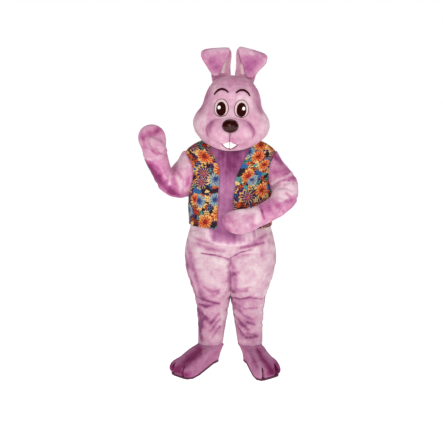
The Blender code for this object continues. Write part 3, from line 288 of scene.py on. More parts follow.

# Soft streaks of colour, laid out as the folds are: half width, strength, points. Above 0 they are painted
# shade along folds, creases and shaded sides, below 0 painted light on lit places, with some of the pile's
# own patchy colour among them.
# Round spots, painted shade and light in the same way: x, y, height, radius, strength.
SUIT_SHADING_STREAKS = {
    "front": [(14, 0.35, -205, 845, -135, 820, -45, 810), (10, 0.55, 65, 830, 130, 840, 210, 855),
        (15, 0.4, 155, 865, 220, 900), (14, 0.25, 205, 860, 200, 775),
        (7, 0.3, -250, 895, -210, 875, -150, 860), (11, 0.5, -15, 750, -10, 655, -5, 540),
        (17, 0.5, 10, 735, 18, 650, 26, 580, 18, 530), (8, 0.2, 0, 645, 60, 680),
        (4.5, 0.8, -190, 791, -113, 784, -56, 771, -15, 757), (4.5, 0.8, -8, 762, 58, 800, 128, 816),
        (9, 0.4, 10, 525, 60, 535, 105, 545), (7, 0.3, 35, 550, 135, 570),
        (24, 0.4, -270, 815, -245, 710, -215, 575, -185, 495),
        (16, 0.45, -295, 750, -275, 640, -230, 490), (8, 0.3, -125, 665, -105, 635),
        (8, 0.25, -180, 570, -125, 535, -75, 545), (10, 0.3, -120, 505, -75, 530),
        (9, 0.35, -45, 500, -25, 530), (6, 0.65, -210, 480, -160, 470, -75, 445),
        (12, 0.55, -205, 435, -160, 425, -115, 440), (20, 0.8, -205, 395, -190, 335, -200, 270),
        (14, 0.35, -170, 355, -135, 320), (12, 0.5, -200, 245, -192, 190), (7, 0.3, -130, 310, -75, 375),
        (7, 0.3, -135, 255, -65, 340), (7, 0.3, -120, 215, -65, 285), (75, 0.22, -140, 425, -135, 160),
        (75, 0.3, 100, 460, 130, 160), (6, 0.55, 10, 480, 65, 480, 125, 495, 205, 475),
        (10, 0.5, 0, 470, 35, 415, 70, 385), (6, 0.35, 90, 415, 180, 415), (8, 0.35, 80, 370, 140, 340),
        (7, 0.45, 110, 320, 160, 300), (8, 0.5, 25, 355, 70, 300, 120, 265), (8, 0.4, 45, 280, 85, 225),
        (9, 0.5, 105, 210, 180, 215), (6, 0.35, 110, 245, 170, 225)],
    "back": [(75, 0.2, -130, 440, -130, 160), (75, 0.2, 120, 440, 120, 160),
        (12, 0.4, -205, 450, -120, 440, -60, 460), (12, 0.4, 50, 450, 190, 445),
        (9, 0.35, -200, 330, -120, 300), (9, 0.35, 60, 310, 160, 330), (14, 0.35, -200, 840, -60, 810),
        (14, 0.35, 50, 815, 200, 850)],
    "left": [(20, 0.3, -60, 780, 0, 640, 30, 500), (60, 0.2, 0, 440, 0, 160)],
    "right": [(20, 0.3, 60, 780, 0, 640, -20, 500), (60, 0.2, 0, 440, 0, 160)]}
SUIT_SHADING_SPOTS = [(-150, -170, 700, 80, -0.1), (130, -170, 700, 80, -0.1)]
BELLY_SHADING_STREAKS = {
    "front": [(50, -0.7, 85, 960, 125, 900), (34, -0.8, -130, 838, 0, 834, 90, 838),
        (26, 0.25, -70, 925, 10, 915), (30, -0.85, -165, 935, -148, 870, -130, 842)]}
# Painted shadow on the belly panel's top, under the chin.
BELLY_CHIN_SHADOW_SPOTS = [(0, -150, 1440, 90, 0.35), (20, -155, 1380, 90, 0.25), (-40, -155, 1320, 60, 0.15)]
SLEEVE_SHADING_STREAKS = {
    "right": {"front": [(24, 0.6, -520, 1365, -495, 1310, -440, 1235, -380, 1180),
            (14, 0.6, -395, 1180, -335, 1160), (26, 0.3, -485, 1350, -445, 1270, -370, 1195),
            (40, 0.2, -350, 1190, -330, 1160), (7, -0.5, -375, 1300, -385, 1230),
            (8, -0.35, -345, 1280, -320, 1215, -325, 1165), (7, -0.3, -435, 1345, -410, 1275),
            (6, 0.35, -360, 1270, -350, 1230), (6, 0.3, -340, 1305, -300, 1250),
            (40, -0.45, -320, 1380, -295, 1290)],
        "back": [(30, 0.4, -480, 1340, -440, 1260, -360, 1200)],
        "right": [(30, 0.4, -190, 1340, -120, 1250, -60, 1210)]},
    "left": {"front": [(20, 0.7, 285, 1400, 325, 1365), (26, 0.3, 290, 1305, 365, 1315),
            (40, -0.45, 280, 1200, 380, 1210), (8, -0.7, 260, 1225, 310, 1260, 385, 1295),
            (10, -0.6, 270, 1195, 320, 1235, 375, 1245), (16, -0.7, 260, 1175, 330, 1175),
            (12, -0.5, 300, 1140, 355, 1160, 385, 1200), (6, 0.4, 260, 1210, 305, 1245, 345, 1260),
            (6, 0.3, 285, 1185, 335, 1210, 385, 1185), (7, 0.6, 335, 1185, 365, 1165),
            (8, 0.4, 365, 1255, 400, 1225), (26, 0.25, 185, 1090, 270, 1105),
            (8, 0.6, 185, 1080, 200, 1030), (18, 0.35, 305, 1110, 370, 1135)],
        "back": [(20, 0.4, 290, 1380, 380, 1290)],
        "left": [(20, 0.3, -120, 1260, -40, 1290)]}}
MITT_SHADING_STREAKS = {
    "right": {"front": [(22, 0.5, -530, 1520, -500, 1540, -465, 1545, -440, 1565),
            (14, 0.35, -535, 1515, -520, 1460), (9, 0.5, -480, 1445, -455, 1420, -425, 1430),
            (10, 0.3, -430, 1505, -420, 1470),
            (10, -0.1, -530, 1400, -480, 1380, -460, 1370, -415, 1410)],
        "back": [(20, 0.3, -520, 1520, -470, 1560)]},
    "left": {"front": [(16, -0.4, 125, 1100, 165, 1060, 150, 1010), (20, -0.35, 40, 1080, 115, 1070),
            (14, 0.35, -45, 1035, -45, 980, -15, 950), (22, 0.3, -20, 1035, 10, 1010)]}}
FOOT_SHADING_STREAKS = {
    "right": {"front": [(24, -0.2, -130, 140, -160, 95),
            (16, 0.75, -200, 133, -240, 115, -280, 95, -324, 70, -360, 40), (22, 0.5, -385, 60, -400, 30),
            (24, 0.7, -350, 45, -280, 30)]},
    "left": {"front": [(13, 0.55, 174, 133, 209, 104, 242, 77, 265, 40), (26, 0.6, 240, 45, 300, 30),
            (10, 0.35, 135, 120, 165, 85), (18, 0.6, 290, 70, 315, 30), (14, -0.3, 165, 125, 205, 55)]}}
# Painted shade at the temples, along the top of the forehead and under the muzzle. The spots are painted
# light on both cheeks and a little painted shade beside the left eye.
HEAD_SHADING_STREAKS = {
    "front": [(30, 0.5, -150, 1880, -165, 1760, -190, 1700), (30, 0.5, 150, 1860, 160, 1760, 185, 1700),
        (60, 0.18, -60, 1850, 60, 1850), (26, 0.2, -80, 1480, 80, 1480)]}
HEAD_SHADING_SPOTS = [(-120, -200, 1640, 60, 0.1), (-200, -140, 1590, 60, -0.25), (200, -140, 1590, 60, -0.1)]
# Painted shade in the creases at the muzzle's upper sides and top, and low in its middle over the teeth.
MUZZLE_CREASE_SHADE_SPOTS = [(-122, -205, 1605, 32, 0.5), (-134, -205, 1570, 28, 0.35), (-70, -235, 1630, 30, 0.2),
                (122, -205, 1605, 32, 0.55), (134, -205, 1570, 28, 0.45), (0, -240, 1495, 30, 0.25)]
EAR_SHADING_STREAKS = {
    "right": {"front": [(40, 0.35, -110, 1990, -90, 1950), (24, -0.25, -100, 2060, -30, 2075)]},
    "left": {"front": [(40, 0.45, 100, 2000, 140, 1990, 110, 1950), (20, -0.2, 80, 2070, 150, 2040)]}}

# Each sheet's flat cut, by how it is held: width, length and area in metres and square metres.
FLAT = {
    "hung": {
        "front_left front_right": (0.39, 0.98, 0.154), "belly_panel": (0.36, 0.77, 0.188),
        "back_left back_right": (0.39, 0.98, 0.244), "leg_left_front leg_right_front": (0.57, 0.67, 0.271),
        "leg_left_back leg_right_back": (0.56, 0.67, 0.271), "sleeve_left_front": (0.41, 0.70, 0.125),
        "sleeve_left_back": (0.41, 0.70, 0.132), "sleeve_right_front": (0.42, 0.46, 0.096),
        "sleeve_right_back": (0.42, 0.50, 0.123), "mitt_left_back": (0.20, 0.28, 0.043),
        "mitt_left_palm": (0.20, 0.28, 0.039), "mitt_right_back": (0.21, 0.25, 0.035),
        "mitt_right_palm": (0.21, 0.26, 0.041), "thumb_left": (0.13, 0.15, 0.013),
        "thumb_right": (0.15, 0.16, 0.018), "foot_left": (1.04, 0.33, 0.156),
        "foot_right": (1.09, 0.34, 0.165), "vest_back": (0.71, 0.71, 0.345),
        "vest_front_left": (0.35, 0.71, 0.150), "vest_front_right": (0.28, 0.71, 0.127)},
    "stretched": {
        "head_face": (0.74, 0.48, 0.283), "head_back": (0.74, 0.43, 0.264),
        "head_crown": (0.38, 0.38, 0.100)},
    "laid": {
        "ear_lining_left": (0.18, 0.34, 0.042), "ear_lining_right": (0.17, 0.33, 0.040),
        "eye_white_left eye_white_right": (0.09, 0.11, 0.0077),
        "pupil_left pupil_right": (0.06, 0.09, 0.0042), "glint_left glint_right": (0.018, 0.022, 0.0003)}}
CUTS = {node: (held, *cut) for held, cuts in FLAT.items() for nodes, cut in cuts.items()
        for node in nodes.split()}

# ---------------------------------------------------------------- surfaces

def oval(angles, half_width, front, back, power):
    """Points of an oval section, seen from above; the higher its power, the squarer it is."""
    across, along = np.sin(angles), np.cos(angles)
    reach = (np.abs(across) ** power + np.abs(along) ** power) ** (-1.0 / power)
    depth = np.where(along > 0, front, back)
    return half_width * across * reach, -depth * along * reach


def at_height(x, y, height):
    """Level points at one height."""
    return np.stack([x, y, np.full(x.shape, height)], axis=-1)


def angle_at(share, power):
    """The angle round an oval at which x is this share of its half width."""
    share = np.clip(share, -1, 1)
    return np.arctan2(share, (1 - np.abs(share) ** power) ** (1 / power))


def unit(vectors):
    return vectors / np.maximum(np.linalg.norm(vectors, axis=-1, keepdims=True), 1e-12)


def run_along(points):
    """How far along it each point of a line lies, or each point of a grid along its row."""
    steps = np.linalg.norm(np.diff(points, axis=-2), axis=-1)
    return np.concatenate([np.zeros(steps.shape[:-1] + (1,)), np.cumsum(steps, axis=-1)], axis=-1)


def nearest(places, value):
    """The number of the place that lies closest to a value."""
    return int(np.argmin(np.abs(places - value)))


def between(u, gap, first, first_slope, second, second_slope):
    """A smooth curve's points, a share u of the gap from its first end to its second."""
    return ((2 * u ** 3 - 3 * u ** 2 + 1) * first + (u ** 3 - 2 * u ** 2 + u) * gap * first_slope
            + (3 * u ** 2 - 2 * u ** 3) * second + (u ** 3 - u ** 2) * gap * second_slope)


def smooth_line(points, count):
    """More points on a smooth line through a few."""
    points = np.array(points, float)
    marks = run_along(points)
    slopes = np.gradient(points, marks, axis=0)
    place = np.linspace(0, marks[-1], count)
    k = np.clip(np.searchsorted(marks, place, side="right") - 1, 0, len(points) - 2)
    gap = np.diff(marks)[k][:, None]
    return between((place - marks[k])[:, None] / gap, gap, points[k], slopes[k], points[k + 1],
                   slopes[k + 1])


class Loft:
    """A smooth surface through section rings; a place on it is an angle and mm along it."""

    def __init__(self, ring, count):
        self.ring, self.count = ring, count
        probe = np.linspace(0.3, 0.3 + TURN, 8, endpoint=False)
        rings = np.array([ring(k, probe) for k in range(count)])
        sizes = np.linalg.norm(np.diff(rings, axis=0), axis=2).mean(axis=1)
        self.marks = np.concatenate([[0.0], np.cumsum(sizes)])

    def points(self, angles, along):
        angles, along = np.broadcast_arrays(np.asarray(angles, float), np.asarray(along, float))
        flat = angles.ravel()
        place = np.clip(along.ravel(), 0, self.marks[-1])
        rings = np.array([self.ring(k, flat) for k in range(self.count)])
        gaps = np.diff(self.marks)[:, None, None]
        slopes = np.diff(rings, axis=0) / gaps
        middle_slopes = (slopes[:-1] * gaps[1:] + slopes[1:] * gaps[:-1]) / (gaps[1:] + gaps[:-1])
        slopes = np.concatenate([slopes[:1], middle_slopes, slopes[-1:]])
        k = np.clip(np.searchsorted(self.marks, place, side="right") - 1, 0, self.count - 2)
        pick = np.arange(len(flat))
        gap = np.diff(self.marks)[k][:, None]
        result = between((place - self.marks[k])[:, None] / gap, gap, rings[k, pick], slopes[k, pick],
                         rings[k + 1, pick], slopes[k + 1, pick])
        return result.reshape(angles.shape + (3,))

    def normals(self, angles, along):
        round_it = self.points(angles + STEP_ANGLE, along) - self.points(angles - STEP_ANGLE, along)
        up_it = (self.points(angles, np.clip(along + STEP, 0, self.marks[-1]))
                 - self.points(angles, np.clip(along - STEP, 0, self.marks[-1])))
        return unit(np.cross(round_it, up_it))

    def along_for_height(self, height):
        samples = np.linspace(0, self.marks[-1], 1200)
        return np.interp(height, self.points(0.0, samples)[:, 2], samples)


def spaced(start, stop, count, seams=(True, True)):
    """Evenly spread places, with two more close to each end that is a seam."""
    cell = (stop - start) / count
    places = list(np.linspace(start, stop, count + 1))
    if seams[0]:
        places += [start + 0.2 * cell, start + 0.5 * cell]
    if seams[1]:
        places += [stop - 0.5 * cell, stop - 0.2 * cell]
    return sorted(places, reverse=bool(stop < start))


def joined(*runs):
    """Runs of places end to end, each shared end once."""
    return np.concatenate([runs[0]] + [run[1:] for run in runs[1:]])


def marks_between(loft, first, last, seams=(True, True)):
    """Places along a loft from one of its sections to another, a cell apart."""
    start, stop = loft.marks[first], loft.marks[last]
    return spaced(start, stop, max(2, round((stop - start) / CELL)), seams)


def body_ring(k, angles):
    """The trunk's section k, at these angles from the centre front."""
    height, *sizes = BODY[k]
    return at_height(*oval(angles, *sizes, BODY_POWER), height)


def armhole_angle(heights, front):
    """Where a trunk panel ends beside the armhole at each height: its angle from the centre front."""
    rise = (heights - ARMHOLE_HEIGHT) / ARMHOLE_HALF_HEIGHT
    depth = ARMHOLE_HALF_DEPTH * np.sqrt(np.clip(1 - rise * rise, 0, 1))
    share = depth / np.interp(heights, BODY[:, 0], BODY[:, 2 if front else 3])
    angle = np.arctan2((1 - share ** BODY_POWER) ** (1 / BODY_POWER), share)
    return angle if front else math.pi - angle


def trunk_heights():
    """The trunk's row heights at its sides, closer where the armhole turns."""
    armhole = ARMHOLE_HEIGHT + ARMHOLE_HALF_HEIGHT * np.cos(np.linspace(math.pi, 0, 44))
    return joined(spaced(ROWS_SIDE[0], BELLY_FOOT, 14), spaced(BELLY_FOOT, armhole[0], 30, (True, False)),
                  armhole, spaced(armhole[-1], ROWS_SIDE[-1], 14, (False, True)))


def leg_ring(side):
    """Sections of a leg from the hem up, kept just clear of the other leg."""
    def ring(k, angles):
        height, outer, inner, front, back = LEG[len(LEG) - 1 - k]
        power = LEG_POWER if inner > -outer else BODY_POWER
        x, y = oval(angles, (outer - inner) / 2, front, back, power)
        return at_height(side * np.maximum(x + (outer + inner) / 2, MIDDLE_GAP), y, height)
    return ring


def armhole_points(side, turns):
    """The armhole's edge on the trunk at each turn (0 at its top, a quarter at its front), and out."""
    turns = turns % TURN
    heights = ARMHOLE_HEIGHT + ARMHOLE_HALF_HEIGHT * np.cos(turns)
    angles = side * np.where(turns < math.pi, armhole_angle(heights, True), armhole_angle(heights, False))
    along = body.along_for_height(heights)
    return body.points(angles, along), body.normals(angles, along)


def arm_ring(side, table):
    """Sections of an arm, which begin on the armhole's edge and end at the mitt's tip."""
    tops, unders, depths = table[:, 0:3], table[:, 3:6], table[:, 6]
    middles = (tops + unders) / 2
    ways = np.gradient(np.vstack([[side * ARMHOLE_X, 0, ARMHOLE_HEIGHT], middles]), axis=0)[1:]
    hole_middle = armhole_points(side, np.linspace(0, TURN, 24))[0].mean(axis=0)

    def ring(k, angles):
        if k < 2:
            edge, out = armhole_points(side, angles)
            return edge + ARM_INSET * unit(hole_middle - edge) + (k * ARM_RISE) * out
        k -= 2
        up = (tops[k] - unders[k]) / 2
        forward = unit(np.cross(ways[k], up)) * depths[k] * side
        return middles[k] + np.cos(angles)[:, None] * up + np.sin(angles)[:, None] * forward
    return ring


def foot_outline(k, angles, foot):
    """A section of a foot; slant is how much shorter the outer toe is than the inner one."""
    height, reach, heel, toe_half, heel_half, shift, slit = FOOT[k]
    toed = reach > heel + TOED_REACH
    power = TOE_POWER if toed else 2.0
    across, forward = np.sin(angles), np.cos(angles)
    stretch = (np.abs(across) ** power + np.abs(forward) ** power) ** (-1 / power)
    share = across * stretch
    ahead = np.where(forward > 0, reach - toed * foot["slant"] * (share + 1) / 2, heel)
    f = ahead * forward * stretch
    widening = np.clip(f / (TOE_START * reach), 0, 1)
    half = heel_half + (toe_half - heel_half) * widening
    low = np.clip((reach - TOE_RISE_REACH) / TOE_RISE_FADE, 0, 1)
    half = half * (1 + low * OUTER_WIDER * widening * (share > 0))
    for place in foot["slits"]:
        cleft = np.exp(-((share - place) / SLIT_HALF_WIDTH) ** 2)
        f = f - slit * cleft * np.clip(forward * 2, 0, 1)
    out = half * share + shift * (1 - widening)
    turn = math.radians(foot["turned_out"])
    x = ANKLE_X + f * math.sin(turn) + out * math.cos(turn)
    return at_height(foot["side"] * x, -f * math.cos(turn) + out * math.sin(turn), height)


def head_ring(k, angles):
    """The upright head's section k, higher or lower at its front and back than at its sides."""
    side, front, back, *sizes = HEAD[k]
    x, y = oval(angles, *sizes, HEAD_POWER)
    ahead = np.cos(angles)
    return np.stack([x, y, side + np.where(ahead > 0, front - side, back - side) * ahead ** 2], axis=-1)


def turned(offset):
    """Directions of the upright head turned and tilted to its place."""
    turn_c, turn_s = math.cos(HEAD_TURN), math.sin(HEAD_TURN)
    x = offset[..., 0] * turn_c + offset[..., 1] * turn_s
    y = -offset[..., 0] * turn_s + offset[..., 1] * turn_c
    tilt_c, tilt_s = math.cos(HEAD_TILT), math.sin(HEAD_TILT)
    z = offset[..., 2]
    return np.stack([x * tilt_c + z * tilt_s, y, z * tilt_c - x * tilt_s], axis=-1)


def place_head(points):
    """Points of the upright head, moved to where it is worn."""
    return turned(points - HEAD_PIVOT * np.array([0, 1, 1])) + HEAD_PIVOT


def vest_lift(points):
    """How far the vest's inner face lies off the suit: close at the armholes, easier elsewhere."""
    far = np.hypot((points[..., 2] - ARMHOLE_HEIGHT) / ARMHOLE_HALF_HEIGHT,
                   points[..., 1] / ARMHOLE_HALF_DEPTH)
    share = np.clip((far - 1) / 0.5, 0, 1)
    return VEST_CLOSE + VEST_EASE * share * share * (3 - 2 * share)


def vest_flare(points, from_edge):
    """How far the vest's free edges stand away from the suit."""
    loose = np.clip((vest_lift(points) - VEST_CLOSE) / VEST_EASE, 0, 1)
    return VEST_FLARE * np.exp(-(from_edge / VEST_FLARE_REACH) ** 2) * loose


def shoulder_top(points):
    """The height of the vest's outer face over the shoulders, at each point's x and y."""
    heights = np.linspace(BODY[8, 0], BODY[-1, 0], 120)
    half_width, front, back = [np.interp(heights, BODY[:, 0], BODY[:, column]) for column in (1, 2, 3)]
    x, y = np.abs(points[..., 0])[..., None], points[..., 1][..., None]
    depth = np.where(y < 0, front, back)
    inside = (x / half_width) ** BODY_POWER + (np.abs(y) / depth) ** BODY_POWER < 1
    return np.where(inside, heights, 0).max(axis=-1) + VEST_CLOSE + VEST_EASE + VEST_WALL


def on_face(x, height, lift):
    """Points this far off the face, over places given as x and height in the upright head."""
    angles = np.arctan2(x, 200.0)
    line = np.linspace(skull.marks[2], skull.marks[-2], 200)
    along = np.interp(height, skull.points(0.0, line)[:, 2], line)
    for _ in range(12):
        here = skull.points(angles, along)
        by_angle = (skull.points(angles + STEP_ANGLE, along) - here) / STEP_ANGLE
        by_along = (skull.points(angles, along + STEP) - here) / STEP
        miss_x, miss_h = x - here[..., 0], height - here[..., 2]
        size = by_angle[..., 0] * by_along[..., 2] - by_angle[..., 2] * by_along[..., 0]
        angles = angles + (miss_x * by_along[..., 2] - miss_h * by_along[..., 0]) / size
        along = along + (miss_h * by_angle[..., 0] - miss_x * by_angle[..., 2]) / size
    out = skull.normals(angles, along) * np.broadcast_to(lift, angles.shape)[..., None]
    return place_head(skull.points(angles, along) + out)


# ---------------------------------------------------------------- cloth

def seen_lines(points, out, table):
    """For each fold or streak of a table: its two numbers, then each point's distance from its line,
    how it faces the line's side, and its share of the way along."""
    for view, lines in dict(table).items():
        axis, way = VIEWS[view]
        flat = points[:, (axis, 2)]
        facing = out @ np.array(way, float)
        for width, strength, *line in lines:
            line = np.reshape(np.array(line, float), (-1, 2))
            starts = run_along(line)
            best, share = np.full(len(points), 1e9), np.zeros(len(points))
            for a, b, start in zip(line[:-1], line[1:], starts):
                length = np.linalg.norm(b - a)
                t = np.clip(((flat - a) @ (b - a)) / length ** 2, 0, 1)
                away = np.linalg.norm(flat - a - t[:, None] * (b - a), axis=1)
                nearer = away < best
                best[nearer] = away[nearer]
                share[nearer] = (start + t[nearer] * length) / starts[-1]
            yield width, strength, best, facing, share


def relief(points, out, folds):
    """How far the folds' troughs and their banks move each point, and how much painted shade it gets deep
    in a fold's trough.
    """
    move, shade = np.zeros(len(points)), np.zeros(len(points))
    for width, depth, best, facing, share in seen_lines(points, out, folds):
        fade = np.clip((facing - 0.1) / 0.3, 0, 1) * np.clip(4 * share * (1 - share), 0, 1) ** 0.4
        trough = np.exp(-(best / width) ** 2)
        ridge = np.exp(-((best - RIDGE_PLACE * width) / (RIDGE_WIDTH * width)) ** 2)
        move += depth * fade * (RIDGE_SHARE * ridge - trough)
        shade += fade * trough * min(1.0, depth / DEEP_FOLD)
    return move, np.clip(shade, 0, 1)


def streak_tones(points, out, streaks):
    """The colour streaks' share of each point's tone: painted shade where above 0, painted light where
    below.
    """
    total = np.zeros(len(points))
    for width, strength, best, facing, _ in seen_lines(points, out, streaks):
        fade = STREAK_SHARE * strength * np.clip((facing + 0.35) / 0.3, 0, 1)
        total += fade * np.exp(-(best / width) ** 2)
    return total


def lumps(points, seed, size, height):
    """Low unevenness as cloth has: a sum of plane waves in fixed random directions."""
    rng = np.random.default_rng(seed)
    total = np.zeros(len(points))
    for _ in range(9):
        way = unit(rng.normal(size=3)) * TURN / (size * rng.uniform(0.6, 1.8))
        total += np.sin(points @ way + rng.uniform(0, TURN))
    return total * height / 3


class Sheet:
    """Rows and columns of points on a cloth's outer face, with the way out of it at each."""

    def __init__(self, points, out, wrap=False, tip=False, uv=None, tones=0.0):
        self.rows, self.columns = points.shape[:2]
        self.tones = np.broadcast_to(tones, points.shape[:2]).ravel()
        self.points, self.out = points.reshape(-1, 3), out.reshape(-1, 3)
        self.wrap, self.tip = wrap, tip
        self.uv = None if uv is None else uv.reshape(-1, 2)

    def cells(self, rows=None, columns=None):
        """Corner lists of the cells in these row bands and column bands, or of all."""
        faces = []
        for row in range(*(rows or (0, self.rows - 1))):
            low, high = row * self.columns, (row + 1) * self.columns
            for column in range(*(columns or (0, self.columns - 1 + self.wrap))):
                here, beside = column % self.columns, (column + 1) % self.columns
                if self.tip and row == self.rows - 2:
                    faces.append((low + here, low + beside, high))
                else:
                    faces.append((low + here, low + beside, high + beside, high + here))
        return faces


def rim_edges(faces):
    """The edges that belong to one face alone, in that face's direction."""
    directed = {(face[i - 1], face[i]) for face in faces for i in range(len(face))}
    return sorted(edge for edge in directed if edge[::-1] not in directed)


def make_cloth(name, sheet, material, node, cells=None, wall=PLUSH_WALL, tone=0.3, folds=(), streaks=(),
               spots=(), bumps=(0, 100, 0.0), dip=SEAM_DIP, top=None, shape=None):
    """A closed thin shell on some of a sheet's cells, with its folds, seam dips and colour tone; the tone
    carries painted shade in fold troughs and the painted shading streaks and spots.
    """
    cells = cells or sheet.cells()
    used = np.array(sorted({corner for cell in cells for corner in cell}))
    place = {corner: i for i, corner in enumerate(used.tolist())}
    cells = [tuple(place[corner] for corner in cell) for cell in cells]
    points, out = sheet.points[used], sheet.out[used]
    rim = rim_edges(cells)
    ends = sorted({corner for edge in rim for corner in edge})
    tree = KDTree(len(ends))
    for corner in ends:
        tree.insert(Vector(points[corner]), corner)
    tree.balance()
    from_edge = np.array([tree.find(Vector(point))[2] for point in points])
    move, shade = relief(points, out, folds)
    seed, size, height = bumps
    if height:
        move = move + lumps(points, seed, size, height) * np.clip(from_edge / LUMP_FADE, 0, 1)
    move = move * np.clip(from_edge / FOLD_FADE, 0, 1)
    if top is not None:
        move = np.minimum(move, top(points))
    if shape is not None:
        move = move + shape(points, from_edge)
    move = move - dip * np.exp(-(from_edge / SEAM_REACH) ** 2)
    at_edge = set(ends)
    inward = np.zeros(points.shape)
    for cell in cells:
        for corner in at_edge.intersection(cell):
            inward[corner] += points[list(cell)].mean(axis=0) - points[corner]
    # The tone: its base, painted shade in fold troughs and creases, and the painted shading streaks and
    # spots.
    tones = tone + FOLD_PAINTED_SHADE * shade + sheet.tones[used] + streak_tones(points, out, streaks)
    for x, y, h, radius, strength in spots:
        tones += strength * np.exp(-((points - np.array([x, y, h])) ** 2).sum(axis=1) / radius ** 2)
    outer = points + out * move[:, None] + SEAM_GAP * unit(inward)
    inner = outer - out * (wall if np.ndim(wall) == 0 else wall[used][:, None])
    count = len(used)
    faces = cells + [tuple(corner + count for corner in reversed(cell)) for cell in cells]
    faces += [(b, a, a + count, b + count) for a, b in rim]
    uv = None if sheet.uv is None else np.vstack([sheet.uv[used]] * 2)
    piece = make_piece(name, np.vstack([outer, inner]), faces, material, np.tile(tones, 2), uv)
    dress(piece, node)
    return piece


def placed(name, data):
    """A new object in the scene."""
    made = bpy.data.objects.new(name, data)
    bpy.context.scene.collection.objects.link(made)
    return made


def in_metres(points):
    """Points in mm over the floor, in metres about the shoulders."""
    return (np.asarray(points, float) - np.array([0, 0, SHOULDER_HEIGHT])) * METRES


def make_piece(name, points, faces, material, tones, uv=None):
    """A smooth mesh object, its faces pointing out."""
    points = in_metres(points)
    mesh = bpy.data.meshes.new(name)
    mesh.from_pydata(points.tolist(), [], faces)
    mesh.calc_loop_triangles()
    a, b, c = points[np.array([tri.vertices for tri in mesh.loop_triangles])].transpose(1, 0, 2)
    if (a * np.cross(b, c)).sum() < 0:
        mesh.flip_normals()
    mesh.materials.append(material)
    if uv is not None:
        layer = mesh.uv_layers.new(name="UVMap")
        layer.data.foreach_set("uv", uv[[loop.vertex_index for loop in mesh.loops]].ravel())
    layer = mesh.attributes.new("tone", "FLOAT", "POINT")
    layer.data.foreach_set("value", np.clip(tones, 0, 1).astype(np.float32))
    mesh.shade_smooth()
    mesh.set_sharp_from_angle(angle=SHARP_ANGLE)
    return placed(name, mesh)


def dress(piece, node, slot=None):
    """Sets a piece on the body, in its solid's place, and hides that solid."""
    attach(piece, "root")
    if node:
        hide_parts(node)
    slot or SLOTS[node]
    if node in CUTS:
        held, width, length, area = CUTS[node]


def capped_cells(rings):
    """The cells over rings of points and the two caps that close them."""
    count, ring = rings.shape[0] * rings.shape[1], rings.shape[1]
    return Sheet(rings, rings, wrap=True).cells() + [
        tuple(range(ring))[::-1], tuple(range(count - ring, count))]


def tube(name, points, radii, material, node=None, slot=None, closed=False, tone=0.5):
    """A round cord along points given in mm."""
    count = len(points)
    radii = np.broadcast_to(radii, (count,))
    if closed:
        ways = unit(np.roll(points, -1, axis=0) - np.roll(points, 1, axis=0))
    else:
        ways = unit(np.gradient(points, axis=0))
    side = unit(np.cross(ways, np.array([0.13, -1.0, 0.07])))
    up = np.cross(side, ways)
    turn = np.linspace(0, TURN, CORD_SIDES, endpoint=False)[None, :, None]
    spokes = np.cos(turn) * side[:, None] + np.sin(turn) * up[:, None]
    rings = points[:, None] + radii[:, None, None] * spokes
    if closed:
        again = np.vstack([rings, rings[:1]])
        faces = [tuple(corner % (count * CORD_SIDES) for corner in face)
                 for face in Sheet(again, again, wrap=True).cells()]
    else:
        faces = capped_cells(rings)
    tones = np.full(count * CORD_SIDES, tone)
    dress(make_piece(name, rings.reshape(-1, 3), faces, material, tones), node, slot)


# ---------------------------------------------------------------- materials

def hex_colour(code):
    """An sRGB hex colour as the linear one that shaders use."""
    parts = [int(code[i:i + 2], 16) / 255 for i in (1, 3, 5)]
    return tuple(p / 12.92 if p <= 0.04045 else ((p + 0.055) / 1.055) ** 2.4 for p in parts) + (1.0,)


def connect(tree, node, inputs):
    """Gives a node's inputs their values or links; a node given as a value means its first output."""
    for key, value in dict(inputs).items():
        if isinstance(value, bpy.types.Node):
            value = next(socket for socket in value.outputs if socket.enabled)
        if isinstance(value, bpy.types.NodeSocket):
            tree.links.new(value, node.inputs[key])
        else:
            node.inputs[key].default_value = value


def add(tree, kind, settings=(), inputs=(), stops=()):
    """Adds a node with its settings, its inputs' values or links, and a ramp's {position: colour}."""
    node = tree.nodes.new(kind)
    for key, value in dict(settings).items():
        setattr(node, key, value)
    if stops:
        elements = node.color_ramp.elements
        while len(elements) < len(stops):
            elements.new(0.5)
        for element, (position, code) in zip(elements, stops.items()):
            element.position, element.color = position, hex_colour(code)
    connect(tree, node, inputs)
    return node


def new_material(name):
    """A material with its node tree and its shader."""
    material = bpy.data.materials.new(name)
    material.use_nodes = True
    tree = material.node_tree
    return material, tree, tree.nodes["Principled BSDF"]


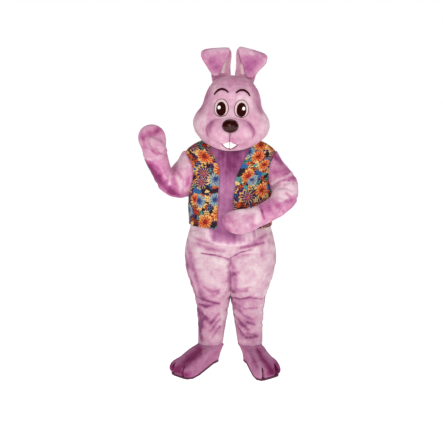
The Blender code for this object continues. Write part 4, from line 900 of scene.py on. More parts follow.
def plush(name, stops, sheen=0.2, nap=1.0, streaks=0.0):
    """Knitted-back polyester plush with a 3 mm pile: it lies in soft patches that catch the light
    or show their roots, so its colour drifts over 30 to 120 mm and its edges are softly bright."""
    material, tree, shader = new_material(name)
    coords = add(tree, "ShaderNodeTexCoord").outputs["Object"]
    tone = add(tree, "ShaderNodeAttribute", {"attribute_name": "tone"}).outputs["Fac"]
    patches = add(tree, "ShaderNodeTexNoise", (),
                  {"Vector": coords, "Scale": 11.0, "Detail": 3.0, "Roughness": 0.55, "Distortion": 0.4})
    strokes = add(tree, "ShaderNodeTexNoise", (),
                  {"Vector": coords, "Scale": 42.0, "Detail": 2.0, "Roughness": 0.6})
    patterns = [(patches, 0.9 * nap), (strokes, 0.45 * nap)]
    if streaks:
        tall = add(tree, "ShaderNodeMapping", (), {"Vector": coords, "Scale": (55.0, 20.0, 7.0)})
        brushed = add(tree, "ShaderNodeTexNoise", (), {"Vector": tall, "Scale": 1.0, "Detail": 2.0})
        patterns.append((brushed, streaks))
    swings = [add(tree, "ShaderNodeMath", {"operation": "MULTIPLY_ADD"},
                  {0: pattern, 1: strength, 2: -strength / 2}) for pattern, strength in patterns]
    total = swings[0]
    for swing in swings[1:]:
        total = add(tree, "ShaderNodeMath", {"operation": "ADD"}, {0: total, 1: swing})
    level = add(tree, "ShaderNodeMath", {"operation": "ADD", "use_clamp": True}, {0: tone, 1: total})
    colours = add(tree, "ShaderNodeValToRGB", (), {"Fac": level}, stops)
    pile = add(tree, "ShaderNodeTexNoise", (),
               {"Vector": coords, "Scale": 260.0, "Detail": 3.0, "Roughness": 0.7})
    bump = add(tree, "ShaderNodeBump", (), {"Height": pile, "Strength": 0.35, "Distance": 0.002})
    connect(tree, shader, {
        "Base Color": colours, "Normal": bump, "Roughness": 0.92, "Specular IOR Level": 0.2,
        "Sheen Weight": sheen, "Sheen Roughness": 0.45, "Sheen Tint": hex_colour(stops[0.0])})
    return material


def plain(name, colour, roughness, grain_scale, grain, sheen=0.0, specular=0.3, mottle=0.12):
    """A single-coloured finish with its grain and a slight unevenness of colour."""
    material, tree, shader = new_material(name)
    coords = add(tree, "ShaderNodeTexCoord").outputs["Object"]
    cloud = add(tree, "ShaderNodeTexNoise", (), {"Vector": coords, "Scale": 35.0, "Detail": 3.0})
    lighter = hex_colour(colour)
    darker = tuple(part * (1 - 2 * mottle) for part in lighter[:3]) + (1.0,)
    mixed = add(tree, "ShaderNodeMix", {"data_type": "RGBA"}, {"Factor": cloud, 6: lighter, 7: darker})
    pits = add(tree, "ShaderNodeTexNoise", (), {"Vector": coords, "Scale": grain_scale, "Detail": 2.0})
    bump = add(tree, "ShaderNodeBump", (), {"Height": pits, "Strength": grain, "Distance": 0.0015})
    connect(tree, shader, {"Base Color": mixed, "Normal": bump, "Roughness": roughness,
                           "Sheen Weight": sheen, "Specular IOR Level": specular})
    return material


# The print, step by step. A step has a name, then MIX (share, first, second), RAMP or BANDS (place,
# colours) or a sum and its numbers; a name in them is an earlier step's, with its output after a dot.
PRINT = (
    ("angle", "ARCTAN2", "parts.Y", "parts.X"), ("turn", "MULTIPLY_ADD", "kind.Green", 6.28, "angle"),
    # A bloom's scalloped edge and the rays across its petals.
    ("beat", "MULTIPLY", "turn", 6.5), ("wave", "SINE", "beat"), ("petals", "ABSOLUTE", "wave"),
    ("size", "MULTIPLY_ADD", "kind.Blue", 0.5, 0.85), ("reach", "MULTIPLY_ADD", "petals", 0.01, 0.031),
    ("reach", "MULTIPLY", "reach", "size"), ("share", "DIVIDE", "radius", "reach"),
    ("rays", "MULTIPLY", "turn", 23.0), ("rays", "SINE", "rays"),
    ("ring", "MULTIPLY_ADD", "rays", 0.16, "share"),
    ("warm", "RAMP", "ring", {0.0: "#3c0806", 0.2: "#9a1a06", 0.45: "#c62c08", 0.7: "#cc3c0e",
                              0.9: "#d8581c", 1.0: "#f2c078"}),
    ("cool", "RAMP", "ring", {0.0: "#d8803a", 0.25: "#982a50", 0.5: "#5e2470", 0.8: "#341c50",
                              1.0: "#241a35"}),
    ("icy", "RAMP", "ring", {0.0: "#1c1838", 0.3: "#1f4c88", 0.6: "#3f7cae", 0.85: "#7fb0b8",
                             1.0: "#3f7f8c"}),
    ("is_cool", "GREATER_THAN", "kind.Red", 0.66), ("is_icy", "GREATER_THAN", "kind.Red", 0.9),
    ("bloom", "MIX", "is_cool", "warm", "cool"), ("bloom", "MIX", "is_icy", "bloom", "icy"),
    # The ground's patches, some striped like leaves and some dotted, and a halo round some blooms.
    ("ground", "BANDS", "leaf.Red", {0.0: "#240a16", 0.2: "#a82a08", 0.3: "#562460", 0.42: "#f2c880",
                                     0.55: "#25619c", 0.7: "#c8501c", 0.84: "#4f928c"}),
    ("slope", "MULTIPLY", "leaf.Green", "parts.Y"), ("slope", "ADD", "parts.X", "slope"),
    ("veins", "MULTIPLY", "slope", 900.0), ("veins", "SINE", "veins"),
    ("veins", "GREATER_THAN", "veins", 0.35), ("veins", "MULTIPLY", "veins", 0.45),
    ("ground", "MIX", "veins", "ground", "#20121f"),
    ("dots", "LESS_THAN", "dots.Distance", 0.36), ("dotted", "GREATER_THAN", "leaf.Blue", 0.3),
    ("dots", "MULTIPLY", "dots", "dotted"), ("ground", "MIX", "dots", "ground", "#120a12"),
    ("inside", "SUBTRACT", 1.0, "share"), ("inside", "MULTIPLY_ADD", "inside", 7.0, 0.4),
    ("halo", "LESS_THAN", "share", 1.22), ("haloed", "GREATER_THAN", "leaf.Green", 0.62),
    ("halo", "MULTIPLY", "halo", "haloed"), ("halo", "MULTIPLY", "halo", 0.8),
    ("ground", "MIX", "halo", "ground", "#efb765"),
    # Specks and pale filaments on the petals.
    ("specks", "LESS_THAN", "specks.Distance", 0.3), ("specks", "MULTIPLY", "specks", 0.7),
    ("bloom", "MIX", "specks", "bloom", "#4a130c"),
    ("threads", "MULTIPLY", "turn", 13.0), ("threads", "SINE", "threads"),
    ("threads", "GREATER_THAN", "threads", 0.8), ("outward", "GREATER_THAN", "share", 0.38),
    ("threads", "MULTIPLY", "threads", "outward"), ("threads", "MULTIPLY", "threads", 0.7),
    ("bloom", "MIX", "threads", "bloom", "#f2c76e"),
    ("print", "MIX", "inside", "ground", "bloom"),
    ("cloud", "MULTIPLY", "soft.Fac", 0.1), ("print", "MIX", "cloud", "print", "#2b1420"))


def printed_cotton():
    """Plain-woven cotton with a tropical print of blooms 80 to 100 mm across, striped leaves and
    dotted patches, repeated without a visible join; the dye sinks in, so it is matt."""
    material, tree, shader = new_material("printed_cotton")
    uv = add(tree, "ShaderNodeUVMap", {"uv_map": "UVMap"}).outputs["UV"]
    flat, cellular = {"noise_dimensions": "2D"}, {"voronoi_dimensions": "2D"}
    wobble = add(tree, "ShaderNodeTexNoise", flat, {"Vector": uv, "Scale": 34.0, "Detail": 3.0,
                                                    "Roughness": 0.65})
    shift = add(tree, "ShaderNodeVectorMath", {"operation": "MULTIPLY_ADD"},
                {0: wobble.outputs["Color"], 1: (0.024, 0.024, 0.0), 2: uv})
    steps = {name: add(tree, "ShaderNodeTexVoronoi", cellular, {"Vector": place, "Scale": scale,
                                                                "Randomness": chance})
             for name, place, scale, chance in (("blooms", shift, 9.6, 0.8), ("leaves", shift, 36.0, 1.0),
                                                ("dots", uv, 74.0, 0.4), ("specks", shift, 120.0, 0.8))}
    local = add(tree, "ShaderNodeVectorMath", {"operation": "SUBTRACT"},
                {0: shift, 1: steps["blooms"].outputs["Position"]})
    steps["parts"] = add(tree, "ShaderNodeSeparateXYZ", (), {0: local})
    steps["radius"] = add(tree, "ShaderNodeVectorMath", {"operation": "LENGTH"}, {0: local})
    for name, cells in (("kind", "blooms"), ("leaf", "leaves")):
        steps[name] = add(tree, "ShaderNodeSeparateColor", (), {0: steps[cells].outputs["Color"]})
    steps["soft"] = add(tree, "ShaderNodeTexNoise", flat, {"Vector": uv, "Scale": 18.0})
    for name, step, *values in PRINT:
        for i, value in enumerate(values):
            if isinstance(value, str):
                earlier, _, output = value.partition(".")
                values[i] = (hex_colour(value) if value[0] == "#" else
                             steps[earlier].outputs[output] if output else steps[earlier])
        if step in ("RAMP", "BANDS"):
            steps[name] = add(tree, "ShaderNodeValToRGB", (), {"Fac": values[0]}, values[1])
            steps[name].color_ramp.interpolation = {"RAMP": "LINEAR", "BANDS": "CONSTANT"}[step]
        elif step == "MIX":
            steps[name] = add(tree, "ShaderNodeMix", {"data_type": "RGBA"}, zip(("Factor", 6, 7), values))
        else:
            steps[name] = add(tree, "ShaderNodeMath", {"operation": step}, enumerate(values))
    weave = add(tree, "ShaderNodeTexNoise", flat, {"Vector": uv, "Scale": 700.0})
    bump = add(tree, "ShaderNodeBump", (), {"Height": weave, "Strength": 0.15, "Distance": 0.001})
    connect(tree, shader, {"Base Color": steps["print"], "Normal": bump, "Roughness": 0.75,
                           "Specular IOR Level": 0.3})
    return material


SLOTS = {part["node"]: part["material_slot"] for part in frame["record"]["subparts"]}

suit_plush = plush("dusty_pink_plush", {0.0: "#dbcaca", 0.25: "#d0b0bb", 0.6: "#b87d9c", 1.0: "#80406a"})
sleeve_plush = plush("lilac_pink_plush", {0.0: "#dfbeca", 0.3: "#c98baa", 0.6: "#b05f8f", 1.0: "#7e2a5c"})
hand_plush = plush("pale_pink_plush", {0.0: "#dcc1c9", 0.3: "#c898ae", 0.65: "#b0658e", 1.0: "#843864"})
face_plush = plush("blush_pink_plush", {0.0: "#e0bfca", 0.25: "#d0a0b4", 0.6: "#b67797", 1.0: "#8f4a74"})
ear_plush = plush("dusky_pink_plush", {0.0: "#d8b0c2", 0.4: "#bd819f", 0.7: "#ad6490", 1.0: "#84406a"},
                  nap=1.3)
belly_plush = plush("mauve_short_plush", {0.0: "#dfc0cc", 0.3: "#bd85a6", 0.6: "#a3628d", 1.0: "#742f5c"},
                    nap=0.8, streaks=0.45)
foot_plush = plush("deep_mauve_plush", {0.0: "#bd87a2", 0.4: "#a4628a", 0.7: "#8a3a66", 1.0: "#6a1c4a"},
                   sheen=0.15, nap=0.8)
lining_plush = plush("cream_pink_velour", {0.0: "#f2dcd8", 0.4: "#dcb2bc", 0.75: "#c088a4", 1.0: "#8a4f72"},
                     nap=0.5)
# Glossy soft vinyl, moulded: a clear highlight on a near-black brown.
nose_vinyl = plain("dark_brown_vinyl", "#340302", 0.24, 180.0, 0.03, specular=0.32)
# Short-napped felt, all but black.
pupil_felt = plain("near_black_brown_felt", "#2c0202", 0.9, 300.0, 0.1, specular=0.1)
# A wine-dark felt cord in each toe slit: painted shade in the cleft between the toes.
slit_shade_felt = plain("toe_slit_painted_shade", "#3f0a1c", 0.9, 300.0, 0.1, specular=0.1)
# Pressed wool felt: matt and faintly cloudy.
eye_felt = plain("cream_pink_felt", "#e2c3c4", 0.85, 300.0, 0.2, sheen=0.2)
tooth_felt = plain("ivory_felt", "#fff3ee", 0.8, 300.0, 0.2, mottle=0.03)
brow_felt = plain("brown_felt", "#3a0a10", 0.9, 300.0, 0.2, specular=0.1)
# Twisted rayon thread, laid close: a thin line, hardly shiny.
seam_cord = plain("dark_red_embroidery_thread", "#460d1e", 0.7, 500.0, 0.3)
mouth_cord = plain("rose_embroidery_thread", "#5e2038", 0.7, 500.0, 0.3)
# Calendered rubber sheet: dark, dull, with a fine pebble.
sole_rubber = plain("plum_rubber", "#5c2a44", 0.75, 240.0, 0.5)
print_cloth = printed_cotton()
# Twisted polyester thread, dark plum: a thin matt line of dashes.
vest_thread = plain("plum_sewing_thread", "#4a2038", 0.7, 900.0, 0.2)

# ---------------------------------------------------------------- stitching

def stitch_tree():
    """A running stitch along each line: threads with rounded ends, one to each pitch."""
    tree = bpy.data.node_groups.new("running_stitch", "GeometryNodeTree")
    tree.interface.new_socket("Line", in_out="INPUT", socket_type="NodeSocketGeometry")
    for label in STITCH:
        tree.interface.new_socket(label, in_out="INPUT", socket_type="NodeSocketFloat")
    tree.interface.new_socket("Stitches", in_out="OUTPUT", socket_type="NodeSocketGeometry")
    given = add(tree, "NodeGroupInput").outputs
    path = add(tree, "GeometryNodeMeshToCurve", (), {"Mesh": given["Line"]})
    places = add(tree, "GeometryNodeCurveToPoints", {"mode": "LENGTH"},
                 {"Curve": path, "Length": given["Pitch"]})
    ball = add(tree, "GeometryNodeMeshUVSphere", (), {"Segments": 6, "Rings": 4, "Radius": 1.0})
    size = add(tree, "ShaderNodeCombineXYZ", (), {0: given["Thread radius"], 1: given["Thread radius"],
                                                  2: given["Thread half length"]})
    thread = add(tree, "GeometryNodeTransform", (), {"Geometry": ball, "Scale": size})
    sewn = add(tree, "GeometryNodeInstanceOnPoints", (),
               {"Points": places, "Instance": thread, "Rotation": places.outputs["Rotation"]})
    real = add(tree, "GeometryNodeRealizeInstances", (), {0: sewn})
    coloured = add(tree, "GeometryNodeSetMaterial", (), {"Geometry": real, "Material": vest_thread})
    add(tree, "NodeGroupOutput", (), {0: coloured})
    return tree


def sew(name, lines, slot):
    """Stitches along lines given in mm, as one plain mesh."""
    mesh = bpy.data.meshes.new(name + "_lines")
    starts = np.cumsum([0] + [len(line) for line in lines])
    edges = [(i, i + 1) for a, b in zip(starts, starts[1:]) for i in range(a, b - 1)]
    mesh.from_pydata(in_metres(np.vstack(lines)).tolist(), edges, [])
    path = placed(name + "_path", mesh)
    modifier = path.modifiers.new("stitches", "NODES")
    modifier.node_group = running_stitch
    for socket in running_stitch.interface.items_tree:
        if socket.name in STITCH:
            modifier[socket.identifier] = STITCH[socket.name]
    evaluated = path.evaluated_get(bpy.context.evaluated_depsgraph_get())
    stitches = bpy.data.meshes.new_from_object(evaluated)
    bpy.data.objects.remove(path)
    dress(placed(name, stitches), None, slot)


def inset(grid, distance):
    """The line this far in from the first column of a grid of points."""
    return np.array([[np.interp(distance, along, row[:, axis]) for axis in range(3)]
                     for along, row in zip(run_along(grid), grid)])


running_stitch = stitch_tree()

# ---------------------------------------------------------------- trunk, legs and vest

body = Loft(body_ring, len(BODY))
heights = trunk_heights()


def make_trunk():
    """The fronts in two halves round the belly panel, and the back in two halves."""
    index = np.interp(heights, ROWS_SIDE, range(len(ROWS_SIDE)))
    centre = np.interp(index, range(len(ROWS_FRONT)), ROWS_FRONT)
    shares = joined(spaced(-1, -BELLY_SHARE, 34), spaced(-BELLY_SHARE, 0, 20),
                    spaced(0, BELLY_SHARE, 20), spaced(BELLY_SHARE, 1, 34))
    end, middle = len(shares) - 1, nearest(shares, 0)
    belly = (nearest(shares, -BELLY_SHARE), nearest(shares, BELLY_SHARE))
    low, high = (0, nearest(heights, BELLY_FOOT)), (nearest(heights, BELLY_FOOT), len(heights) - 1)
    dips = np.clip(1 - (np.abs(shares) / DIP_SHARE) ** 2.5, 0, None)
    rows = heights[:, None] + (centre - heights)[:, None] * dips
    angles, along = armhole_angle(rows, True) * shares, body.along_for_height(rows)
    front = Sheet(body.points(angles, along), body.normals(angles, along))
    under_vest = {"folds": TRUNK_FOLDS, "bumps": (3, 120, 1.0), "dip": 0.5, "top": no_rise,
                  "spots": SUIT_SHADING_SPOTS, "streaks": SUIT_SHADING_STREAKS}
    for name, below, beside in (("right", (0, middle), (0, belly[0])),
                                ("left", (middle, end), (belly[1], end))):
        make_cloth("suit_front_" + name, front, suit_plush, "front_" + name,
                   front.cells(low, below) + front.cells(high, beside), tone=0.25, **under_vest)
    make_cloth("belly_patch", front, belly_plush, "belly_panel", front.cells(high, belly), tone=0.56,
               bumps=(5, 90, 1.0), dip=0.4, top=no_rise, spots=BELLY_CHIN_SHADOW_SPOTS, streaks=BELLY_SHADING_STREAKS)
    edges = armhole_angle(heights, False)
    shares = joined(spaced(0, 0.5, 52), spaced(0.5, 1, 52))
    angles = edges[:, None] + (TURN - 2 * edges)[:, None] * shares
    along = body.along_for_height(heights)[:, None]
    back = Sheet(body.points(angles, along), body.normals(angles, along))
    middle = nearest(shares, 0.5)
    for name, columns in (("left", (0, middle)), ("right", (middle, len(shares) - 1))):
        make_cloth("suit_back_" + name, back, suit_plush, "back_" + name, back.cells(None, columns),
                   **under_vest)


def make_legs():
    """Each leg's front and back, which meet at the side and inside seams."""
    for name, side in (("right", -1), ("left", 1)):
        loft = Loft(leg_ring(side), len(LEG))
        half = joined(spaced(-QUARTER, 0, 16, (True, False)), spaced(0, QUARTER, 40, (False, True)))
        turns = joined(half, math.pi - half[::-1])[:-1]
        angles, along = np.meshgrid(turns, marks_between(loft, 0, len(LEG) - 1))
        points = loft.points(angles, along)
        sheet = Sheet(points, side * loft.normals(angles, along), wrap=True)
        for part, columns in (("_front", (0, len(half) - 1)), ("_back", (len(half) - 1, len(turns)))):
            node = "leg_" + name + part
            make_cloth(node + "_cloth", sheet, suit_plush, node, sheet.cells(None, columns),
                       folds=LEG_FOLDS, streaks=SUIT_SHADING_STREAKS, spots=SUIT_SHADING_SPOTS, bumps=(7, 110, 2.0),
                       dip=0.6, top=middle_limit)
        if side < 0:
            make_crotch_seams(points)


def no_rise(points):
    """Under the vest the suit stands out nowhere."""
    return np.zeros(len(points))


def middle_limit(points):
    """The most that a leg may stand out at each point: nothing where it meets the other leg."""
    return np.clip((np.abs(points[:, 0]) - 4) / 4, 0, 10)


def make_crotch_seams(rows):
    """The sewn seam in the crease between the thighs, front and back: a plush cord whose deep tone is
    painted shade in the crease.
    """
    pressed = [row[np.abs(row[:, 0]) < MIDDLE_GAP + 0.05] for row in rows]
    pressed = [row for row in pressed if len(row) > 2]
    for name, pick, way in (("front", np.argmin, -1), ("back", np.argmax, 1)):
        line = np.array([row[pick(row[:, 1])] for row in pressed]) * np.array([0, 1, 1])
        line = smooth_line(line[::4], 60) + np.array([0, way * 0.5, 0])
        radii = 3.0 * np.clip((SEAM_TOP - line[:, 2]) / 40, 0.2, 1)
        # The cord's deep tone is painted shade in the crease.
        tube("crotch_seam_" + name, line, radii, suit_plush, slot="lilac_plush", tone=0.8)


def make_vest():
    """The open vest's two fronts and its back, with a stitched edge all round each."""
    armhole_foot = ARMHOLE_HEIGHT - ARMHOLE_HALF_HEIGHT
    armhole_top = ARMHOLE_HEIGHT + ARMHOLE_HALF_HEIGHT
    rows = joined(spaced(VEST_HEM_SIDE, armhole_foot, 24, (True, False)),
                  heights[(heights >= armhole_foot) & (heights < armhole_top)],
                  spaced(armhole_top, VEST_TOP, 9, (False, True)))
    for name, side, column in (("right", -1, 1), ("left", 1, 2)):
        shares = np.array(spaced(0, 1, 44))
        edge_x = np.interp(rows, VEST_EDGE[:, 0], VEST_EDGE[:, column])
        edge = angle_at(edge_x / np.interp(rows, BODY[:, 0], BODY[:, 1]), BODY_POWER)
        far = armhole_angle(rows, True)
        angles = side * (edge[:, None] + (far - edge)[:, None] * shares)
        drop = np.clip((VEST_DROP_TOP - rows) / (VEST_DROP_TOP - VEST_HEM_SIDE), 0, 1)[:, None]
        tall = rows[:, None] - (VEST_HEM_SIDE - VEST_HEM_FRONT) * drop * (1 - shares)
        tall -= VEST_LONGER[name] * drop * np.sin(math.pi * shares)
        make_vest_panel("vest_front_" + name, angles, tall, steady=0)
    far = armhole_angle(rows, False)
    shares = np.array(spaced(0, 1, 96))
    angles = far[:, None] + (TURN - 2 * far)[:, None] * shares
    make_vest_panel("vest_back", angles, np.broadcast_to(rows[:, None], angles.shape), len(shares) // 2)


def make_vest_panel(node, angles, tall, steady):
    """One panel of the vest; its print is laid out from the column that runs straight up (steady)."""
    along = body.along_for_height(tall)
    ground, out = body.points(angles, along), body.normals(angles, along)
    points = ground + out * (vest_lift(ground) + VEST_WALL)[..., None]
    run = run_along(points)
    run -= run[:, steady:steady + 1]
    rise = np.interp(tall, tall[:, steady], run_along(points[:, steady]))
    uv = np.stack([run + 400.0 * len(node), rise + 900.0], axis=-1) * METRES
    sheet = Sheet(points, out, uv=uv)
    panel = make_cloth(node + "_cotton", sheet, print_cloth, node, wall=VEST_WALL, folds=VEST_FOLDS,
                       bumps=(11, 150, 0.8), dip=0.0, shape=vest_flare)
    outer = np.array([vertex.co for vertex in panel.data.vertices])[:sheet.rows * sheet.columns]
    grid = outer.reshape(points.shape) / METRES + np.array([0, 0, SHOULDER_HEIGHT]) + out * STITCH_LIFT
    across = np.swapaxes(grid, 0, 1)
    sew(node + "_stitches", [inset(part, STITCH_INSET) for part in (
        grid, grid[:, ::-1], across, across[:, ::-1])], SLOTS[node])


# ---------------------------------------------------------------- arms, mitts and feet

def make_arms():
    """Each sleeve's two halves, the mitt's palm and back beyond its cuff, and the thumb."""
    for name, (side, table) in ARMS.items():
        loft = Loft(arm_ring(side, table), len(table) + 2)
        cuff = len(table) + 2 - MITT_SECTIONS
        turns = joined(spaced(0, math.pi, 34), spaced(math.pi, TURN, 34))[:-1]
        half = nearest(turns, math.pi)
        sleeve_rows = joined(spaced(0, loft.marks[1], 2, (False, False)),
                             marks_between(loft, 1, cuff, (False, True)))
        rows = joined(sleeve_rows, marks_between(loft, cuff, len(table) + 1, (True, False)))
        angles, along = np.meshgrid(turns, rows)
        points, out = loft.points(angles, along), side * loft.normals(angles, along)
        out[-1] = unit(points[-1, 0] - points[-2].mean(axis=0))
        out[0] = armhole_points(side, turns)[1]
        sheet = Sheet(points, out, wrap=True, tip=True)
        split = len(sleeve_rows) - 1
        halves = ((0, half), (half, len(turns)))
        for part, columns in zip(("_front", "_back"), halves):
            node = "sleeve_" + name + part
            make_cloth(node + "_cloth", sheet, sleeve_plush, node, sheet.cells((0, split), columns),
                       folds=SLEEVE_FOLDS[name], bumps=(13, 90, 1.6), streaks=SLEEVE_SHADING_STREAKS[name])
        for part, columns in zip(("_palm", "_back")[::-side], halves):
            node = "mitt_" + name + part
            cells = sheet.cells((split, len(rows) - 1), columns)
            make_cloth(node + "_cloth", sheet, hand_plush, node, cells, tone=0.34,
                       folds=MITT_FOLDS[name], bumps=(17, 80, 1.0), streaks=MITT_SHADING_STREAKS[name])
        make_thumb(name, side, loft, loft.marks[cuff])


def make_thumb(name, side, loft, cuff):
    """A thumb that lies along the mitt, closed by itself."""
    thickness_share, gap = THUMBS[name]
    angles = (0.0 if side < 0 else math.pi) + np.radians(THUMB[:, 0])
    along = cuff + THUMB[:, 1]
    lift = side * loft.normals(angles, along)
    widths, halves = THUMB[:, 2], THUMB[:, 3] * thickness_share
    middles = loft.points(angles, along) + lift * (np.maximum(halves, halves[-2])[:, None] + gap)
    ways = unit(np.gradient(middles, axis=0))

    def ring(k, turn):
        across = unit(np.cross(ways[k], lift[k])) * widths[k]
        raised = unit(np.cross(across, ways[k])) * halves[k]
        return middles[k] + np.cos(turn)[:, None] * across + np.sin(turn)[:, None] * raised
    thumb = Loft(ring, len(THUMB))
    angles, along = np.meshgrid(np.linspace(0, TURN, 36, endpoint=False),
                                spaced(0, thumb.marks[-1], 16, (True, False)))
    points = thumb.points(angles, along)
    out = unit(points - points.mean(axis=1, keepdims=True))
    out[-1] = unit(points[-1, 0] - points[-2].mean(axis=0))
    make_cloth("thumb_" + name + "_cloth", Sheet(points, out, wrap=True, tip=True), hand_plush,
               "thumb_" + name, tone=0.4, dip=1.0)


def make_feet():
    """Each shoe cover, with the cut lines between its three toes and a dark cord of painted shade in each.
    """
    for name, foot in FEET.items():
        side, slits = foot["side"], foot["slits"]
        loft = Loft(lambda k, angles: foot_outline(k, angles, foot), len(FOOT))
        shares = np.concatenate([np.linspace(-0.94, 0.94, 60), -TOE_CORNERS, TOE_CORNERS]
                                + [np.linspace(slit - 0.14, slit + 0.14, 16) for slit in slits])
        toes = angle_at(np.unique(shares.round(4)), TOE_POWER)
        turns = np.concatenate([toes, np.linspace(QUARTER, 3 * QUARTER, 40)])
        rows = joined(spaced(0, loft.marks[COLLAR_SECTION], 34, (True, False)), loft.marks[COLLAR_SECTION:])
        angles, along = np.meshgrid(turns, rows)
        out = side * loft.normals(angles, along)
        for row in (0, -1):
            out[row] = unit(out[row] * np.array([1.0, 1.0, 0.0]))
        make_cloth("shoe_cover_" + name, Sheet(loft.points(angles, along), out, wrap=True), foot_plush,
                   "foot_" + name, tone=0.25, bumps=(19, 90, 1.2), dip=1.5, streaks=FOOT_SHADING_STREAKS[name])
        for number, share in enumerate(slits):
            places = np.linspace(loft.marks[0] + 3, loft.marks[3] + 2, 20)
            here = np.full(places.shape, angle_at(share, TOE_POWER))
            line = loft.points(here, places) + side * loft.normals(here, places)
            radii = SLIT_RADIUS + SLIT_SWELL * np.sin(np.linspace(0.3, math.pi, 20)) ** 0.8
            tube("toe_slit_%s_%d" % (name, number + 1), line, radii, slit_shade_felt, slot="brown_vinyl")


# ---------------------------------------------------------------- head

skull = Loft(head_ring, len(HEAD))


def make_head():
    """The face, back and crown of the head, with painted shade in the crease beside the muzzle."""
    turns = joined(spaced(0, QUARTER, 44, (False, True)), spaced(QUARTER, 3 * QUARTER, 80),
                   spaced(3 * QUARTER, TURN, 44, (True, False)))[:-1]
    left, right, count = nearest(turns, QUARTER), nearest(turns, 3 * QUARTER), len(turns)
    low = joined(spaced(0, skull.marks[2], 8, (False, False)),
                 marks_between(skull, 2, CROWN_SECTION, (False, True)))
    rows = joined(low, marks_between(skull, CROWN_SECTION, len(HEAD) - 1, (True, False)))
    angles, along = np.meshgrid(turns, rows)
    upright = skull.points(angles, along)
    points, out = place_head(upright), turned(skull.normals(angles, along))
    out[-1] = turned(np.array([0.0, 0.0, 1.0]))
    x, y, height = upright[..., 0], upright[..., 1], upright[..., 2]
    # Painted shade in the crease round the muzzle's sides and top, on the front of the head only.
    crease = np.where(y < 0, CREASE_PAINTED_SHADE * np.exp(-((reach_of(x, height) - 1.04) / 0.06) ** 2), 0.0)
    crease *= np.clip((height - 1500) / 40, 0.2, 1) * np.clip((np.abs(x) - 50) / 60, 0, 1)
    raised = np.maximum(points[..., 2], shoulder_top(points) + HEAD_REST_GAP)
    points[..., 2] = np.where(along <= skull.marks[2], raised, points[..., 2])
    sheet = Sheet(points, out, wrap=True, tip=True, tones=crease)
    crown = len(low) - 1
    for node, rows, columns, material, tone, bumps in (
            ("head_face", (0, crown), (right - count, left), face_plush, 0.22, (23, 120, 0.8)),
            ("head_back", (0, crown), (left, right), suit_plush, 0.4, (23, 120, 1.2)),
            ("head_crown", (crown, sheet.rows - 1), (0, count), face_plush, 0.35, (29, 90, 1.0))):
        make_cloth(node + "_cloth", sheet, material, node, sheet.cells(rows, columns), HEAD_WALL, tone,
                   bumps=bumps, spots=HEAD_SHADING_SPOTS, streaks=HEAD_SHADING_STREAKS)


def patch(node, x, height, lift, thickness, material, name=None, wrap=True, tone=0.2, spots=()):
    """A piece lying on the face: a closed solid between two heights above the plush."""
    inner, outer = on_face(x, height, lift), on_face(x, height, lift + thickness)
    sheet = Sheet(outer, unit(outer - inner), wrap=wrap, tip=wrap)
    depth = np.linalg.norm(outer - inner, axis=-1).ravel()
    return make_cloth(name or node + "_felt", sheet, material, node, wall=depth, tone=tone, dip=0.0,
                      spots=spots)


def disc(shape, mirror, columns=48, rows=10, slant=0.0, wide=0.0):
    """Rows of an oval patch that shrink to its middle, crowded towards its edge, and each row's share
    of the way out. Below its middle it can be flatter (slant) and broader (wide)."""
    turn = np.linspace(0, TURN, columns, endpoint=False)
    shares = np.cos(np.linspace(0, QUARTER, rows + 1))[:, None]
    across, up = np.cos(turn), np.sin(turn)
    down = np.clip(-up, 0, 1)
    x = mirror * shape.get("x", 0.0) + shares * shape["half_width"] * across * (1 + wide * down)
    height = shape["height"] + shares * shape["half_height"] * up * (1 - slant * down ** 2)
    return x, height, shares + 0 * x


def muzzle_notch(x):
    """How much of the muzzle's drop is left at x: its lower edge is notched between the pads."""
    return 1 - MUZZLE["notch"] * np.exp(-(x / MUZZLE["notch_width"]) ** 2)


def muzzle_edge(columns):
    """The muzzle's outline, counted from its middle."""
    turn = np.linspace(0, TURN, columns, endpoint=False)
    power = MUZZLE["power"]
    reach = (np.abs(np.cos(turn)) ** power + np.abs(np.sin(turn)) ** power) ** (-1 / power)
    x = MUZZLE["half_width"] * np.cos(turn) * reach
    rise = np.where(np.sin(turn) > 0, MUZZLE["above"], MUZZLE["below"] * muzzle_notch(x))
    return x, rise * np.sin(turn) * reach


def reach_of(x, height):
    """A place's share of the way from the muzzle's middle to its edge."""
    rise = np.where(height > MUZZLE["height"], MUZZLE["above"], MUZZLE["below"])
    return np.hypot(x / MUZZLE["half_width"], (height - MUZZLE["height"]) / rise)


def muzzle_thickness(x, height):
    """How far the muzzle's dome stands off the face."""
    return MUZZLE["rim"] + MUZZLE["dome"] * np.sqrt(np.clip(1 - reach_of(x, height) ** 2.4, 0, 1))


def groove(x, height):
    """How deep the groove is that parts the muzzle's two pads below the nose."""
    return GROOVE["depth"] * np.exp(-(x / GROOVE["half_width"]) ** 2) * np.clip(
        (GROOVE["top"] - height) / GROOVE["fade"], 0, 1)


